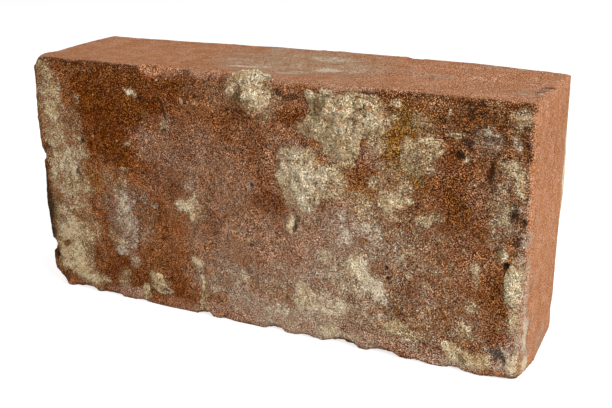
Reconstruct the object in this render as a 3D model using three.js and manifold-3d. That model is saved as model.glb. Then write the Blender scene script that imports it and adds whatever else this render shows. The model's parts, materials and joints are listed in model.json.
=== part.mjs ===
/**
 * Old hand-moulded clay brick, standing on one of its long narrow sides, with the lime mortar
 * that still sticks to it from its last wall.
 *
 * Millimetres, +Z up. X runs along the brick's length, Y through its thickness (the mortared bed
 * face looks to -Y) and Z up its width. The origin lies on the floor, under the brick's middle.
 *
 * Bricklayers' words used here: the two big faces are the beds, the two long narrow faces are the
 * stretchers, the two ends are the headers, and an edge between two faces is an arris.
 */
import * as THREE from 'three';
import { mergeVertices } from 'three/addons/utils/BufferGeometryUtils.js';
import Module from 'manifold-3d';

const wasm = await Module();
wasm.setup();

// ---------------------------------------------------------------------------------------------
// Driving dimensions
// ---------------------------------------------------------------------------------------------

/** The clay block as it left the mould and the kiln. */
const BRICK = {
  length: 250,
  thickness: 65,
  width: 122,
  arrisRadius: 1.2,
};

/** How the block sagged, swelled and dried out of true. */
const WARP = {
  topCrown: 1.5, // rise of the upper stretcher along its back arris
  crownCentre: 25, // where that rise is greatest, right of the middle
  crownReach: 145, // half length of the rise
  frontLift: 1, // how much the upper stretcher rises towards the front bed
  frontLiftReach: 18, // how far back from the bed it starts
  backLift: 0.7, // upturned back corner of the upper stretcher at the left header
  backLiftReach: 30, // how far in from the header it starts
  headerSwell: 1.7, // bulge of the left header, where the clay was thrown into the mould
  swellHeights: [26, -14], // heights of its two bulges, from the middle of the brick
  swellReach: 26, // half height of each bulge
  pinch: 1, // how far the upper back corner at the right header was pressed in and down
  pinchReach: [34, 50, 62], // how far from that corner it is felt
  arrisWobble: 0.6, // how far an arris strays from a straight line
  wobbleLength: 34, // distance from crest to crest of that stray
};

/** Rows of facets: close together along the arrises, wider apart on the flat faces. */
const FACETS = {
  band: 9,
  bandRows: 4,
  bandCrowding: 1.8, // above 1 the rows crowd towards the arris itself
  pitch: 9,
};

/**
 * Places where an arris is rounder, or sharper, than elsewhere. Each belongs to the corner of the
 * block given by the signs in `corner`; `inset` is its place inwards from there.
 */
const WEAR = [
  { name: 'rolled upper arris', corner: [0, -1, 1], inset: [-2, 0, 0], reach: [66, 22, 22], radius: 5.5 },
  { name: 'rubbed right arris', corner: [1, -1, -1], inset: [0, 0, 50], reach: [24, 24, 28], radius: 4 },
  { name: 'worn lower right foot', corner: [1, -1, -1], inset: [0, 0, 0], reach: [22, 30, 30], radius: 5 },
  { name: 'dull left arris', corner: [-1, -1, 0], inset: [0, 0, 10], reach: [16, 16, 60], radius: 2.6 },
  { name: 'dull back left corner', corner: [-1, 1, 1], inset: [0, 0, 0], reach: [30, 30, 30], radius: 6 },
  { name: 'crisp back right corner', corner: [1, 1, 1], inset: [0, 0, 0], reach: [26, 26, 26], radius: 0.6 },
  { name: 'crisp lower arris, left', corner: [0, -1, -1], inset: [-48, 0, 0], reach: [20, 9, 9], radius: 0.6 },
  { name: 'crisp lower arris, middle', corner: [0, -1, -1], inset: [-6, 0, 0], reach: [12, 9, 9], radius: 0.6 },
];

/**
 * Pieces knocked off the block. `inset` places the middle of the lost piece inwards from its
 * corner (or from the middle of the block, where a sign is 0), `size` is its half extent and
 * `turn` its rotation in degrees about Y.
 */
const CHIPS = [
  { name: 'broken lower left corner', corner: [-1, -1, -1], inset: [-2.6, 4, -2.6], size: [11.5, 22, 11.5], turn: 12 },
  { name: 'nick above the broken corner', corner: [-1, -1, -1], inset: [-3, 3, 22], size: [7, 12, 3.8], turn: -14 },
  { name: 'knocked upper left corner', corner: [-1, -1, 1], inset: [-9, -4, -9], size: [18, 18, 18], turn: 0 },
  { name: 'notch half way up the left arris', corner: [-1, -1, 0], inset: [-4, 2, 12], size: [6.4, 10, 3.6], turn: 20 },
  { name: 'flake off the upper arris', corner: [0, -1, 1], inset: [-52, -1, 0], size: [9, 6, 5.4], turn: 8 },
  { name: 'flake beside it', corner: [0, -1, 1], inset: [-40, -1, 0], size: [8, 5, 4.4], turn: -8 },
  { name: 'nick in the back upper arris', corner: [1, 1, 1], inset: [73, -1.6, -1.4], size: [5, 4.4, 3.6], turn: 0 },
];

/**
 * Small flakes along the lower arris of the front bed: where each one is along the brick, half
 * its length, and how high it bites into the bed.
 */
const LOWER_FLAKES = [
  { along: -106, reach: 9, bite: 3.1 },
  { along: -88, reach: 9, bite: 2.3 },
  { along: -69, reach: 7, bite: 2 },
  { along: -32, reach: 5, bite: 3 },
  { along: -20, reach: 8, bite: 1.5 },
  { along: 7, reach: 5, bite: 3.3 },
  { along: 24, reach: 7, bite: 2.2 },
  { along: 41, reach: 8, bite: 4.3 },
  { along: 62, reach: 8, bite: 3.3 },
  { along: 78, reach: 6, bite: 1.8 },
  { along: 96, reach: 6, bite: 2.2 },
];

/** How far outside the block the middle of such a flake lies, in front of it and below it. */
const FLAKE_OFFSET = 1.6;

/** Unevenness of a broken surface: share of the flake's own size, and its wavelength in mm. */
const FRACTURE = { roughness: 0.1, wavelength: 9 };

/** Mortar never quite touches the clay in this model: a hairline keeps the solids apart. */
const MORTAR_GAP = 0.3;

/** How a mortar remnant is shaped between its outline and its top. */
const CRUST = {
  rim: 0.4, // height of the broken edge, as a share of the piece's full height
  footing: 2.5, // how far a piece is carried into the clay before the clay is taken away from it
  rowsAround: 36,
  rowsInwards: 7,
  roughness: 0.24, // rise and fall of the surface, as a share of the piece's height
  ragged: 0.8, // rise and fall of the outline
  wavelength: 9, // of both
};

/**
 * What is left of the mortar. Each piece stands `proud` of the front bed. `corner` and `inset`
 * place it like a chip, `outline` goes round it as [right, up] from there, and `lean` and `turn`
 * tip it, in degrees, over the upper arris and round the right one.
 */
const MORTAR = [
  {
    name: 'mortar_lump_upper',
    corner: [0, -1, 1],
    inset: [-2, 2, 6],
    lean: 24,
    turn: 0,
    proud: 4.6,
    outline: [[12, 3], [8, 8], [0, 10], [-9, 8], [-14, 3], [-10, -4], [-3, -9], [4, -12], [9, -6]],
  },
  {
    name: 'mortar_crust_upper',
    corner: [0, -1, 1],
    inset: [42, 0, 15],
    lean: 0,
    turn: 0,
    proud: 3.6,
    outline: [
      [14, 10], [5, 12], [-8, 11], [-18, 13], [-15, 6], [-17, 0], [-21, -5], [-15, -9], [-5, -12],
      [2, -19], [8, -15], [9, -7], [17, -3], [20, 3],
    ],
  },
  {
    name: 'mortar_crust_middle',
    corner: [0, -1, 0],
    inset: [23, 0, 18],
    lean: 0,
    turn: 0,
    proud: 2,
    outline: [
      [17, 8], [8, 10], [-2, 15], [-13, 13], [-12, 5], [-8, -2], [-4, -10], [3, -16], [8, -12],
      [10, -4], [19, 0],
    ],
  },
  {
    name: 'mortar_crust_right',
    corner: [1, -1, 1],
    inset: [47, 0, 28],
    lean: 0,
    turn: 0,
    proud: 1.9,
    outline: [[8, 2], [11, 7], [5, 9], [-3, 6], [-9, 4], [-9, -2], [-4, -6], [2, -10], [7, -5]],
  },
  {
    name: 'mortar_crust_right_arris',
    corner: [1, -1, -1],
    inset: [5, 0.4, 46],
    lean: 0,
    turn: 12,
    proud: 2.2,
    outline: [[4, 3], [2, 10], [-2, 9], [-5, 2], [-4, -6], [0, -9], [3, -4]],
  },
  {
    name: 'mortar_patch_lower_left',
    corner: [-1, -1, -1],
    inset: [68, 0, 13],
    lean: 0,
    turn: 0,
    proud: 1.5,
    outline: [[5, 0], [1, 5], [-4, 6], [-7, 1], [-4, -4], [2, -6], [8, -4]],
  },
];

// ---------------------------------------------------------------------------------------------
// Helpers: meshes, solids and unevenness
// ---------------------------------------------------------------------------------------------

/** Half extents of the block, the reach of its faces from its middle. */
const HALF = new THREE.Vector3(BRICK.length, BRICK.thickness, BRICK.width).divideScalar(2);

/** A geometry whose facets share their vertices, so that it is one closed skin. */
function welded(geometry) {
  const bare = geometry.clone();
  bare.deleteAttribute('normal');
  bare.deleteAttribute('uv');
  return mergeVertices(bare, 1e-4);
}

/** The solid that a closed, welded geometry encloses. */
function solidOf(geometry) {
  return new wasm.Manifold(new wasm.Mesh({
    numProp: 3,
    vertProperties: new Float32Array(geometry.attributes.position.array),
    triVerts: new Uint32Array(geometry.index.array),
  }));
}

/** The geometry of a solid's skin. */
function geometryOf(solid) {
  const skin = solid.getMesh();
  const geometry = new THREE.BufferGeometry();
  geometry.setAttribute('position', new THREE.BufferAttribute(new Float32Array(skin.vertProperties), 3));
  geometry.setIndex(new THREE.BufferAttribute(new Uint32Array(skin.triVerts), 1));
  geometry.computeVertexNormals();
  return geometry;
}

/** Move every vertex of a geometry through a function that changes the vector it is given. */
function reshape(geometry, change) {
  const position = geometry.attributes.position;
  const point = new THREE.Vector3();
  for (let i = 0; i < position.count; i += 1) {
    point.fromBufferAttribute(position, i);
    change(point);
    position.setXYZ(i, point.x, point.y, point.z);
  }
  return geometry;
}

/** Smooth, repeatable unevenness between -1 and 1 at a place. */
function unevenness(x, y, z, wavelength) {
  const k = (2 * Math.PI) / wavelength;
  const a = Math.sin(k * x + 1.7 * Math.sin(0.63 * k * z + 0.4));
  const b = Math.sin(1.31 * k * y + 1.3 * Math.sin(0.71 * k * x + 2.1));
  const c = Math.sin(1.13 * k * z + 1.9 * Math.sin(0.57 * k * y + 5.2));
  return (a + b + c) / 3;
}

/** 1 at the middle of a place, easing to 0 at its rim and beyond. */
function fade(distance) {
  return distance < 1 ? 0.5 + 0.5 * Math.cos(Math.PI * distance) : 0;
}

/** A place given inwards from a corner of the block, or from its middle where a sign is 0. */
function placeFrom(corner, inset) {
  const along = (sign, half, into) => (sign === 0 ? into : sign * (half - into));
  return new THREE.Vector3(
    along(corner[0], HALF.x, inset[0]),
    along(corner[1], HALF.y, inset[1]),
    along(corner[2], HALF.z, inset[2]),
  );
}

// ---------------------------------------------------------------------------------------------
// The clay block
// ---------------------------------------------------------------------------------------------

/** Where the rows of facets cross one axis of the block, from end to end. */
function facetRows(size) {
  const { band, bandRows, bandCrowding, pitch } = FACETS;
  const inner = size - 2 * band;
  const innerRows = Math.max(2, Math.round(inner / pitch));
  const rows = [];
  for (let i = 0; i <= bandRows; i += 1) rows.push(-size / 2 + band * (i / bandRows) ** bandCrowding);
  for (let i = 1; i < innerRows; i += 1) rows.push(-inner / 2 + (inner * i) / innerRows);
  for (let i = bandRows; i >= 0; i -= 1) rows.push(size / 2 - band * (i / bandRows) ** bandCrowding);
  return rows;
}

/** Radius of the arris nearest to a place: rounder where it is worn, sharper where it is crisp. */
function arrisRadiusAt(point) {
  let radius = BRICK.arrisRadius;
  for (const { corner, inset, reach, radius: local } of WEAR) {
    const away = placeFrom(corner, inset).sub(point).divide(new THREE.Vector3(...reach));
    radius += (local - BRICK.arrisRadius) * fade(away.length());
  }
  return THREE.MathUtils.clamp(radius, 0.3 * BRICK.arrisRadius, 0.9 * FACETS.band);
}

/** How deep a place lies inside the band that runs along the arrises: 1 on an arris, 0 beyond. */
function nearArris(point) {
  const toFace = [HALF.x - Math.abs(point.x), HALF.y - Math.abs(point.y), HALF.z - Math.abs(point.z)];
  toFace.sort((a, b) => a - b);
  return THREE.MathUtils.clamp(1 - toFace[1] / FACETS.band, 0, 1);
}

/** How far drying and firing moved a place on the block. The flat faces stay flat. */
function warpAt(point, radius) {
  const warp = new THREE.Vector3();
  if (point.z > 0) {
    const upness = point.z / HALF.z;
    const backness = THREE.MathUtils.clamp(point.y / HALF.y, 0, 1);
    const frontness = THREE.MathUtils.clamp(1 - (point.y + HALF.y) / WARP.frontLiftReach, 0, 1);
    const fromHeader = (point.x + HALF.x) / WARP.backLiftReach;
    warp.z += WARP.topCrown * upness * backness * fade(Math.abs(point.x - WARP.crownCentre) / WARP.crownReach);
    warp.z += WARP.backLift * upness * backness * fade(fromHeader);
    warp.z += WARP.frontLift * upness * frontness;
  }

  const leftness = THREE.MathUtils.clamp((-point.x - HALF.x + FACETS.band) / FACETS.band, 0, 1);
  for (const height of WARP.swellHeights) {
    warp.x -= WARP.headerSwell * leftness * fade(Math.abs(point.z - height) / WARP.swellReach);
  }

  const toPinch = HALF.clone().sub(point).divide(new THREE.Vector3(...WARP.pinchReach)).length();
  warp.x -= WARP.pinch * fade(toPinch);
  warp.z -= WARP.pinch * fade(toPinch);

  const crispness = Math.min(1, radius / BRICK.arrisRadius);
  const stray = WARP.arrisWobble * nearArris(point) * crispness;
  const wave = (shift) => 0.5 + 0.5 * unevenness(point.x + shift, point.y, point.z - shift, WARP.wobbleLength);
  warp.x -= Math.sign(point.x) * stray * wave(3);
  warp.y -= Math.sign(point.y) * stray * wave(17);
  warp.z -= Math.sign(point.z) * stray * wave(41);
  return warp;
}

/** The block with its rounded arrises and its warp, all round larger by `grown`. */
function mouldedBlock(grown = 0) {
  const rows = [facetRows(BRICK.length), facetRows(BRICK.thickness), facetRows(BRICK.width)];
  const grid = new THREE.BoxGeometry(2, 2, 2, rows[0].length - 1, rows[1].length - 1, rows[2].length - 1);
  const rowAt = (list, coordinate) => list[Math.round(((coordinate + 1) / 2) * (list.length - 1))];
  const core = new THREE.Vector3();
  const inner = new THREE.Vector3();
  return solidOf(reshape(welded(grid), (point) => {
    point.set(rowAt(rows[0], point.x), rowAt(rows[1], point.y), rowAt(rows[2], point.z));
    const radius = arrisRadiusAt(point);
    const warp = warpAt(point, radius);
    inner.copy(HALF).subScalar(radius);
    core.copy(point).clamp(inner.clone().negate(), inner);
    point.sub(core).setLength(radius + grown).add(core).add(warp);
  }));
}

/** The lump of clay that a knock took away. */
function flake({ corner, inset, size, turn }) {
  const place = placeFrom(corner, inset);
  const spin = new THREE.Matrix4().makeRotationY(THREE.MathUtils.degToRad(turn));
  const reach = new THREE.Vector3(...size);
  const ball = reshape(welded(new THREE.IcosahedronGeometry(1, 2)), (point) => {
    const spot = point.clone().multiply(reach).add(place);
    point.multiplyScalar(1 + FRACTURE.roughness * unevenness(spot.x, spot.y, spot.z, FRACTURE.wavelength));
    point.multiply(reach).applyMatrix4(spin).add(place);
  });
  return solidOf(ball);
}

/** A small flake off the lower arris, as a lost piece that reaches in under the front bed. */
function lowerFlake({ along, reach, bite }) {
  return {
    corner: [0, -1, -1],
    inset: [along, -FLAKE_OFFSET, -FLAKE_OFFSET],
    size: [1.15 * reach, 1.3 * bite + FLAKE_OFFSET, 1.1 * bite + FLAKE_OFFSET],
    turn: 0,
  };
}

function brickBody() {
  const lost = [...CHIPS, ...LOWER_FLAKES.map(lowerFlake)];
  return geometryOf(lost.reduce((block, chip) => block.subtract(flake(chip)), mouldedBlock()));
}

// ---------------------------------------------------------------------------------------------
// The mortar
// ---------------------------------------------------------------------------------------------

/** Height of a mortar remnant above its outline's plane, from its rim (1) in to its middle (0). */
function crustHeight(proud, outwards, spot) {
  const dome = CRUST.rim + (1 - CRUST.rim) * Math.sqrt(1 - outwards ** 2);
  return proud * dome * (1 + CRUST.roughness * unevenness(spot.x, 0, spot.y, CRUST.wavelength));
}

/** A lump with the given outline, domed above the XY plane and footed below it. */
function domedLump({ outline, proud }) {
  const corners = outline.map(([x, y]) => new THREE.Vector3(x, y, 0));
  const edge = new THREE.CatmullRomCurve3(corners, true, 'centripetal').getPoints(CRUST.rowsAround);
  const spot = new THREE.Vector3();
  // A sphere has the right rows of facets: from the pole at the top, out to the rim and under.
  const rows = 2 * CRUST.rowsInwards;
  const ball = welded(new THREE.SphereGeometry(1, CRUST.rowsAround, rows).rotateX(Math.PI / 2));
  return reshape(ball, (point) => {
    const outwards = Math.min(1, Math.hypot(point.x, point.y));
    const share = (Math.atan2(point.y, point.x) / (2 * Math.PI) + 1) % 1;
    const rim = edge[Math.round(share * CRUST.rowsAround) % CRUST.rowsAround];
    const stray = 1 + (CRUST.ragged * unevenness(rim.x, rim.y, 0, CRUST.wavelength)) / rim.length();
    spot.copy(rim).multiplyScalar(outwards * stray);
    spot.z = point.z > -1e-6 ? crustHeight(proud, outwards, spot) : -CRUST.footing;
    point.copy(spot);
  });
}

/** A mortar remnant, bedded on the clay. */
function mortarPiece(piece, clay) {
  const place = placeFrom(piece.corner, piece.inset);
  const lump = domedLump(piece);
  lump.rotateX(Math.PI / 2 - THREE.MathUtils.degToRad(piece.lean));
  lump.rotateZ(THREE.MathUtils.degToRad(piece.turn));
  lump.translate(place.x, place.y, place.z);
  return geometryOf(solidOf(lump).subtract(clay));
}

// ---------------------------------------------------------------------------------------------
// Materials and assembly
// ---------------------------------------------------------------------------------------------

const FIRED_CLAY = new THREE.MeshStandardMaterial({ color: 0x9a5b40, roughness: 0.95, metalness: 0 });
const LIME_MORTAR = new THREE.MeshStandardMaterial({ color: 0xc9b894, roughness: 0.97, metalness: 0 });

function named(name, geometry, material) {
  const mesh = new THREE.Mesh(geometry, material);
  mesh.name = name;
  return mesh;
}

function mortarRemnants() {
  const remnants = new THREE.Group();
  const clay = mouldedBlock(MORTAR_GAP);
  for (const piece of MORTAR) remnants.add(named(piece.name, mortarPiece(piece, clay), LIME_MORTAR));
  return remnants;
}

/** The brick on its lower stretcher, its middle half its width above the floor. */
function standingBrick() {
  const brick = new THREE.Group();
  brick.add(named('brick_body', brickBody(), FIRED_CLAY));
  brick.add(mortarRemnants());
  brick.position.z = HALF.z;
  return brick;
}

const part = new THREE.Group();
part.add(standingBrick());

export default part;
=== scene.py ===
"""Dress a reclaimed hand-moulded clay brick that still carries crusts of lime mortar.

The brick stands on its long narrow side. Its mortared bed looks along -Y, X runs along its length and Z
is up. Marks on a side are written in millimetres, the way they would be read off with a rule: along from
the middle of the brick and up from the floor, or in from the front arris on the top and the ends.
"""

from __future__ import annotations

import json
import logging
import math
from dataclasses import dataclass
from enum import Enum

import bmesh
import bpy
import numpy as np
from mathutils import Matrix, Vector, noise
from mathutils.bvhtree import BVHTree

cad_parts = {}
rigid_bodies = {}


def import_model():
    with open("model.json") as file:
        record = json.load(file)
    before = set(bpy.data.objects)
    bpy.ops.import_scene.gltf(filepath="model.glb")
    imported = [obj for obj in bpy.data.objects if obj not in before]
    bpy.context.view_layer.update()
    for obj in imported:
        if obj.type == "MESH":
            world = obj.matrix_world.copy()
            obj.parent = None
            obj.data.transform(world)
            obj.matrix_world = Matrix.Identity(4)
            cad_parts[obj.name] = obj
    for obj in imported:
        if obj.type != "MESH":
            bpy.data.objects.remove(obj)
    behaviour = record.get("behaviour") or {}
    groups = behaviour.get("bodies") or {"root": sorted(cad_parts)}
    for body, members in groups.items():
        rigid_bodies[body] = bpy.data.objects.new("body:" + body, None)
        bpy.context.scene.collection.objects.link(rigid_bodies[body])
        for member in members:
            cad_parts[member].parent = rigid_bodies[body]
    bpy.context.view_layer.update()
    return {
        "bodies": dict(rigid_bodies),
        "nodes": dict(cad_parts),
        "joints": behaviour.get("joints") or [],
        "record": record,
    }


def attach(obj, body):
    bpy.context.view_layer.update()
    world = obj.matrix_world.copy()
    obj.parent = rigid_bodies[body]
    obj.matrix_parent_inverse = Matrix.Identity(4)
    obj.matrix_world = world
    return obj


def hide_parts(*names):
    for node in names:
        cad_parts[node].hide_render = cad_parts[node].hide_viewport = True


LOGGER = logging.getLogger("old_brick")
Colour = tuple[float, float, float]
# Metres in a millimetre.
MM = 0.001
# From the middle of the brick to its beds, in millimetres.
HALF_THICKNESS = 32.5
# Vertices nearer than this, in millimetres, are one.
WELD = 0.001
# How squarely a surface looks a side's way where it begins to belong to the side, and where it wholly does.
SIDE_BEGINS, SIDE_WHOLE = 0.35, 0.8
# The largest part of a normal along one axis: below the first on an arris, above the second on a side.
ARRIS, FLAT = 0.86, 0.99
# A normal's lean to the front where a surface begins to be dirty like the bed, and where it wholly is.
FRONT_BEGINS, FRONT_WHOLE = -0.1, -0.45
# Widths of the painted sand grains, in millimetres.
SMALL_GRAIN, LARGE_GRAIN = 0.44, 0.95
# Millimetres in a metre, for the scales of patterns.
PER_METRE = 1000.0
# What the clay's finish reads from the vertices; there the names have no capitals.
CLAY_PAINTS = ("Deep", "Mauve", "Rose", "Ochre", "Fresh", "Coarse", "Drawn", "Upright")


# ---------------------------------------------------------------------------------------------------------
# Fields: smooth random unevenness, and marks with soft ragged borders
# ---------------------------------------------------------------------------------------------------------


def ease(low: float, high: float, value: np.ndarray) -> np.ndarray:
    """Rise smoothly from 0 at low to 1 at high; with low above high it falls instead.

    Args:
        low: Value at which the result is 0.
        high: Value at which the result is 1.
        value: The numbers to ease.

    Returns:
        Numbers from 0 to 1.
    """
    share = np.clip((value - low) / (high - low), 0.0, 1.0)
    return share * share * (3.0 - 2.0 * share)


def unevenness(places: np.ndarray, size: float, octaves: int, seed: int) -> np.ndarray:
    """Give smooth fractal noise of about -1 to 1 at each place.

    Args:
        places: Points in millimetres, one row each.
        size: Width of the largest lumps in millimetres.
        octaves: How many finer layers are added, each half as wide.
        seed: Picks another field of the same kind.

    Returns:
        One number for each place.
    """
    shift = np.array((31.7, -17.3, 53.9)) * (seed + 1)
    return np.array([noise.fractal(p, 1.0, 2.0, octaves) for p in (places / size + shift).tolist()])


class Field(Enum):
    """What is uneven: how strongly, the width of its lumps in millimetres, its finer layers, its seed."""

    BLOTCHES = (1.0, 26, 4, 5)
    CLOUDS = (1.0, 11, 4, 6)
    WRAPPED_DIRT = (0.6, 5, 3, 8)
    CRUMBLED_ARRIS = (1.0, 9, 3, 9)
    HIDDEN_FILM = (1.0, 20, 4, 12)
    FRONT_ARRIS_FILM = (1.0, 10, 3, 14)
    CHIPPED_END = (1.3, 6, 4, 15)
    SWELL = (0.30, 28, 3, 21)
    LUMPS = (0.5, 7, 3, 22)
    SAND = (0.24, 2.4, 3, 23)
    FILM_RELIEF = (0.28, 3.2, 3, 24)
    CRUMBLE = (0.3, 3.6, 3, 25)
    KNOCKS = (1.0, 7, 3, 26)
    FOOT = (0.35, 1.8, 2, 27)
    STRIKE_RIDGES = (0.22, 2.2, 2, 31)
    LENGTHWISE = (0.09, 2.8, 3, 41)
    DOWNWARDS = (0.09, 2.8, 3, 42)
    POCKS = (1.0, 6, 2, 43)
    DRAG_SAND = (0.06, 2.4, 2, 44)
    MORTAR_HOLES = (1.0, 3.4, 2, 63)
    MORTAR_BORDER = (0.75, 5.0, 4, 65)
    FINE_BORDER = (0.6, 1.8, 2, 66)
    MORTAR_GRAINS = (0.48, 1.15, 2, 67)
    LIME_EDGE = (0.25, 2.5, 3, 71)

    def at(self, places: np.ndarray) -> np.ndarray:
        """Return the unevenness at each place, about as far below 0 as above."""
        strength, size, octaves, seed = self.value
        return strength * unevenness(places, size, octaves, seed)


class Crumbs(Enum):
    """The lumps of which mortar is made: their width in millimetres and their seed."""

    CLODS = (4.6, 61)
    FINE = (1.6, 62)

    def gap(self, places: np.ndarray) -> np.ndarray:
        """Return the distance from each place to the middle of the nearest crumb, in crumb widths."""
        size, seed = self.value
        shift = np.array((11.3, 47.1, -23.7)) * seed
        return np.array([noise.voronoi(p)[0][0] for p in (places / size + shift).tolist()])


@dataclass(frozen=True)
class Patch:
    """An oval mark: its middle, its half width and half height, its strength and its turn in degrees."""

    along: float
    up: float
    wide: float
    tall: float
    strength: float = 1.0
    turn: float = 0.0

    def cover(self, along: np.ndarray, up: np.ndarray) -> np.ndarray:
        """Say how much of the mark lies at each place, from 0 to its strength."""
        angle = math.radians(self.turn)
        right = (along - self.along) * math.cos(angle) + (up - self.up) * math.sin(angle)
        rise = (up - self.up) * math.cos(angle) - (along - self.along) * math.sin(angle)
        reach = np.hypot(right / self.wide, rise / self.tall)
        return self.strength * ease(1.35, 0.45, reach)


@dataclass(frozen=True)
class Stroke:
    """A line mark: the points it follows, its half width and how strong it is."""

    points: tuple[tuple[float, float], ...]
    wide: float
    strength: float = 1.0

    def cover(self, along: np.ndarray, up: np.ndarray) -> np.ndarray:
        """Say how much of the mark lies at each place, from 0 to its strength."""
        nearest = np.full(along.shape, np.inf)
        for (from_along, from_up), (to_along, to_up) in zip(self.points, self.points[1:]):
            run, rise = to_along - from_along, to_up - from_up
            share = ((along - from_along) * run + (up - from_up) * rise) / (run * run + rise * rise)
            share = np.clip(share, 0.0, 1.0)
            gap = np.hypot(along - from_along - share * run, up - from_up - share * rise)
            nearest = np.minimum(nearest, gap)
        return self.strength * ease(1.4, 0.4, nearest / self.wide)


Mark = Patch | Stroke


def marks(*rows: tuple[float, ...] | Stroke) -> tuple[Mark, ...]:
    """Make a patch of each row of numbers, in the order that a patch names them, and keep the strokes."""
    return tuple(row if isinstance(row, Stroke) else Patch(*row) for row in rows)


@dataclass(frozen=True)
class Raggedness:
    """How far the border of a mark wanders, in millimetres, at a coarse and a fine scale."""

    coarse: float = 1.9
    coarse_size: float = 7.0
    fine: float = 1.1
    fine_size: float = 2.4
    coarse_seed: int = 3
    fine_seed: int = 10

    def wander(self, chart: np.ndarray) -> np.ndarray:
        """Shift the places on a side so that marks read there get ragged borders.

        Args:
            chart: Places on the side, in millimetres, along and up.

        Returns:
            The shifted places.
        """
        flat = np.column_stack((chart, np.zeros(len(chart))))
        moved = chart.copy()
        for axis in range(2):
            moved[:, axis] += self.coarse * unevenness(flat, self.coarse_size, 2, self.coarse_seed + axis)
            moved[:, axis] += self.fine * unevenness(flat, self.fine_size, 2, self.fine_seed + axis)
        return moved


def covered(laid: tuple[Mark, ...], chart: np.ndarray) -> np.ndarray:
    """Lay marks over each other on one side.

    Args:
        laid: The marks of one kind.
        chart: Places on the side, along and up.

    Returns:
        How much of the side is covered at each place, from 0 to 1.
    """
    bare = np.ones(len(chart))
    for mark in laid:
        bare *= 1.0 - np.clip(mark.cover(chart[:, 0], chart[:, 1]), 0.0, 1.0)
    return 1.0 - bare


# ---------------------------------------------------------------------------------------------------------
# What marks the brick: the mortared bed is read from its middle and from the floor
# ---------------------------------------------------------------------------------------------------------


@dataclass(frozen=True)
class Pit:
    """A hole in the clay, with its half width, its depth and a rim that may stand up round it."""

    along: float
    up: float
    wide: float
    deep: float
    rim: float = 0.0


@dataclass(frozen=True)
class SideMarks:
    """The marks of one side of the brick, one tuple for each kind."""

    cream: tuple[Mark, ...] = ()
    ash: tuple[Mark, ...] = ()
    scoured: tuple[Mark, ...] = ()
    deep: tuple[Mark, ...] = ()
    mauve: tuple[Mark, ...] = ()
    rose: tuple[Mark, ...] = ()
    ochre: tuple[Mark, ...] = ()
    fresh: tuple[Mark, ...] = ()
    soot_and_shade: tuple[Mark, ...] = ()
    olive_and_shade: tuple[Mark, ...] = ()
    smooth: tuple[Mark, ...] = ()
    drawn: tuple[Mark, ...] = ()
    creases: tuple[Stroke, ...] = ()
    pits: tuple[Pit, ...] = ()


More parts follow.
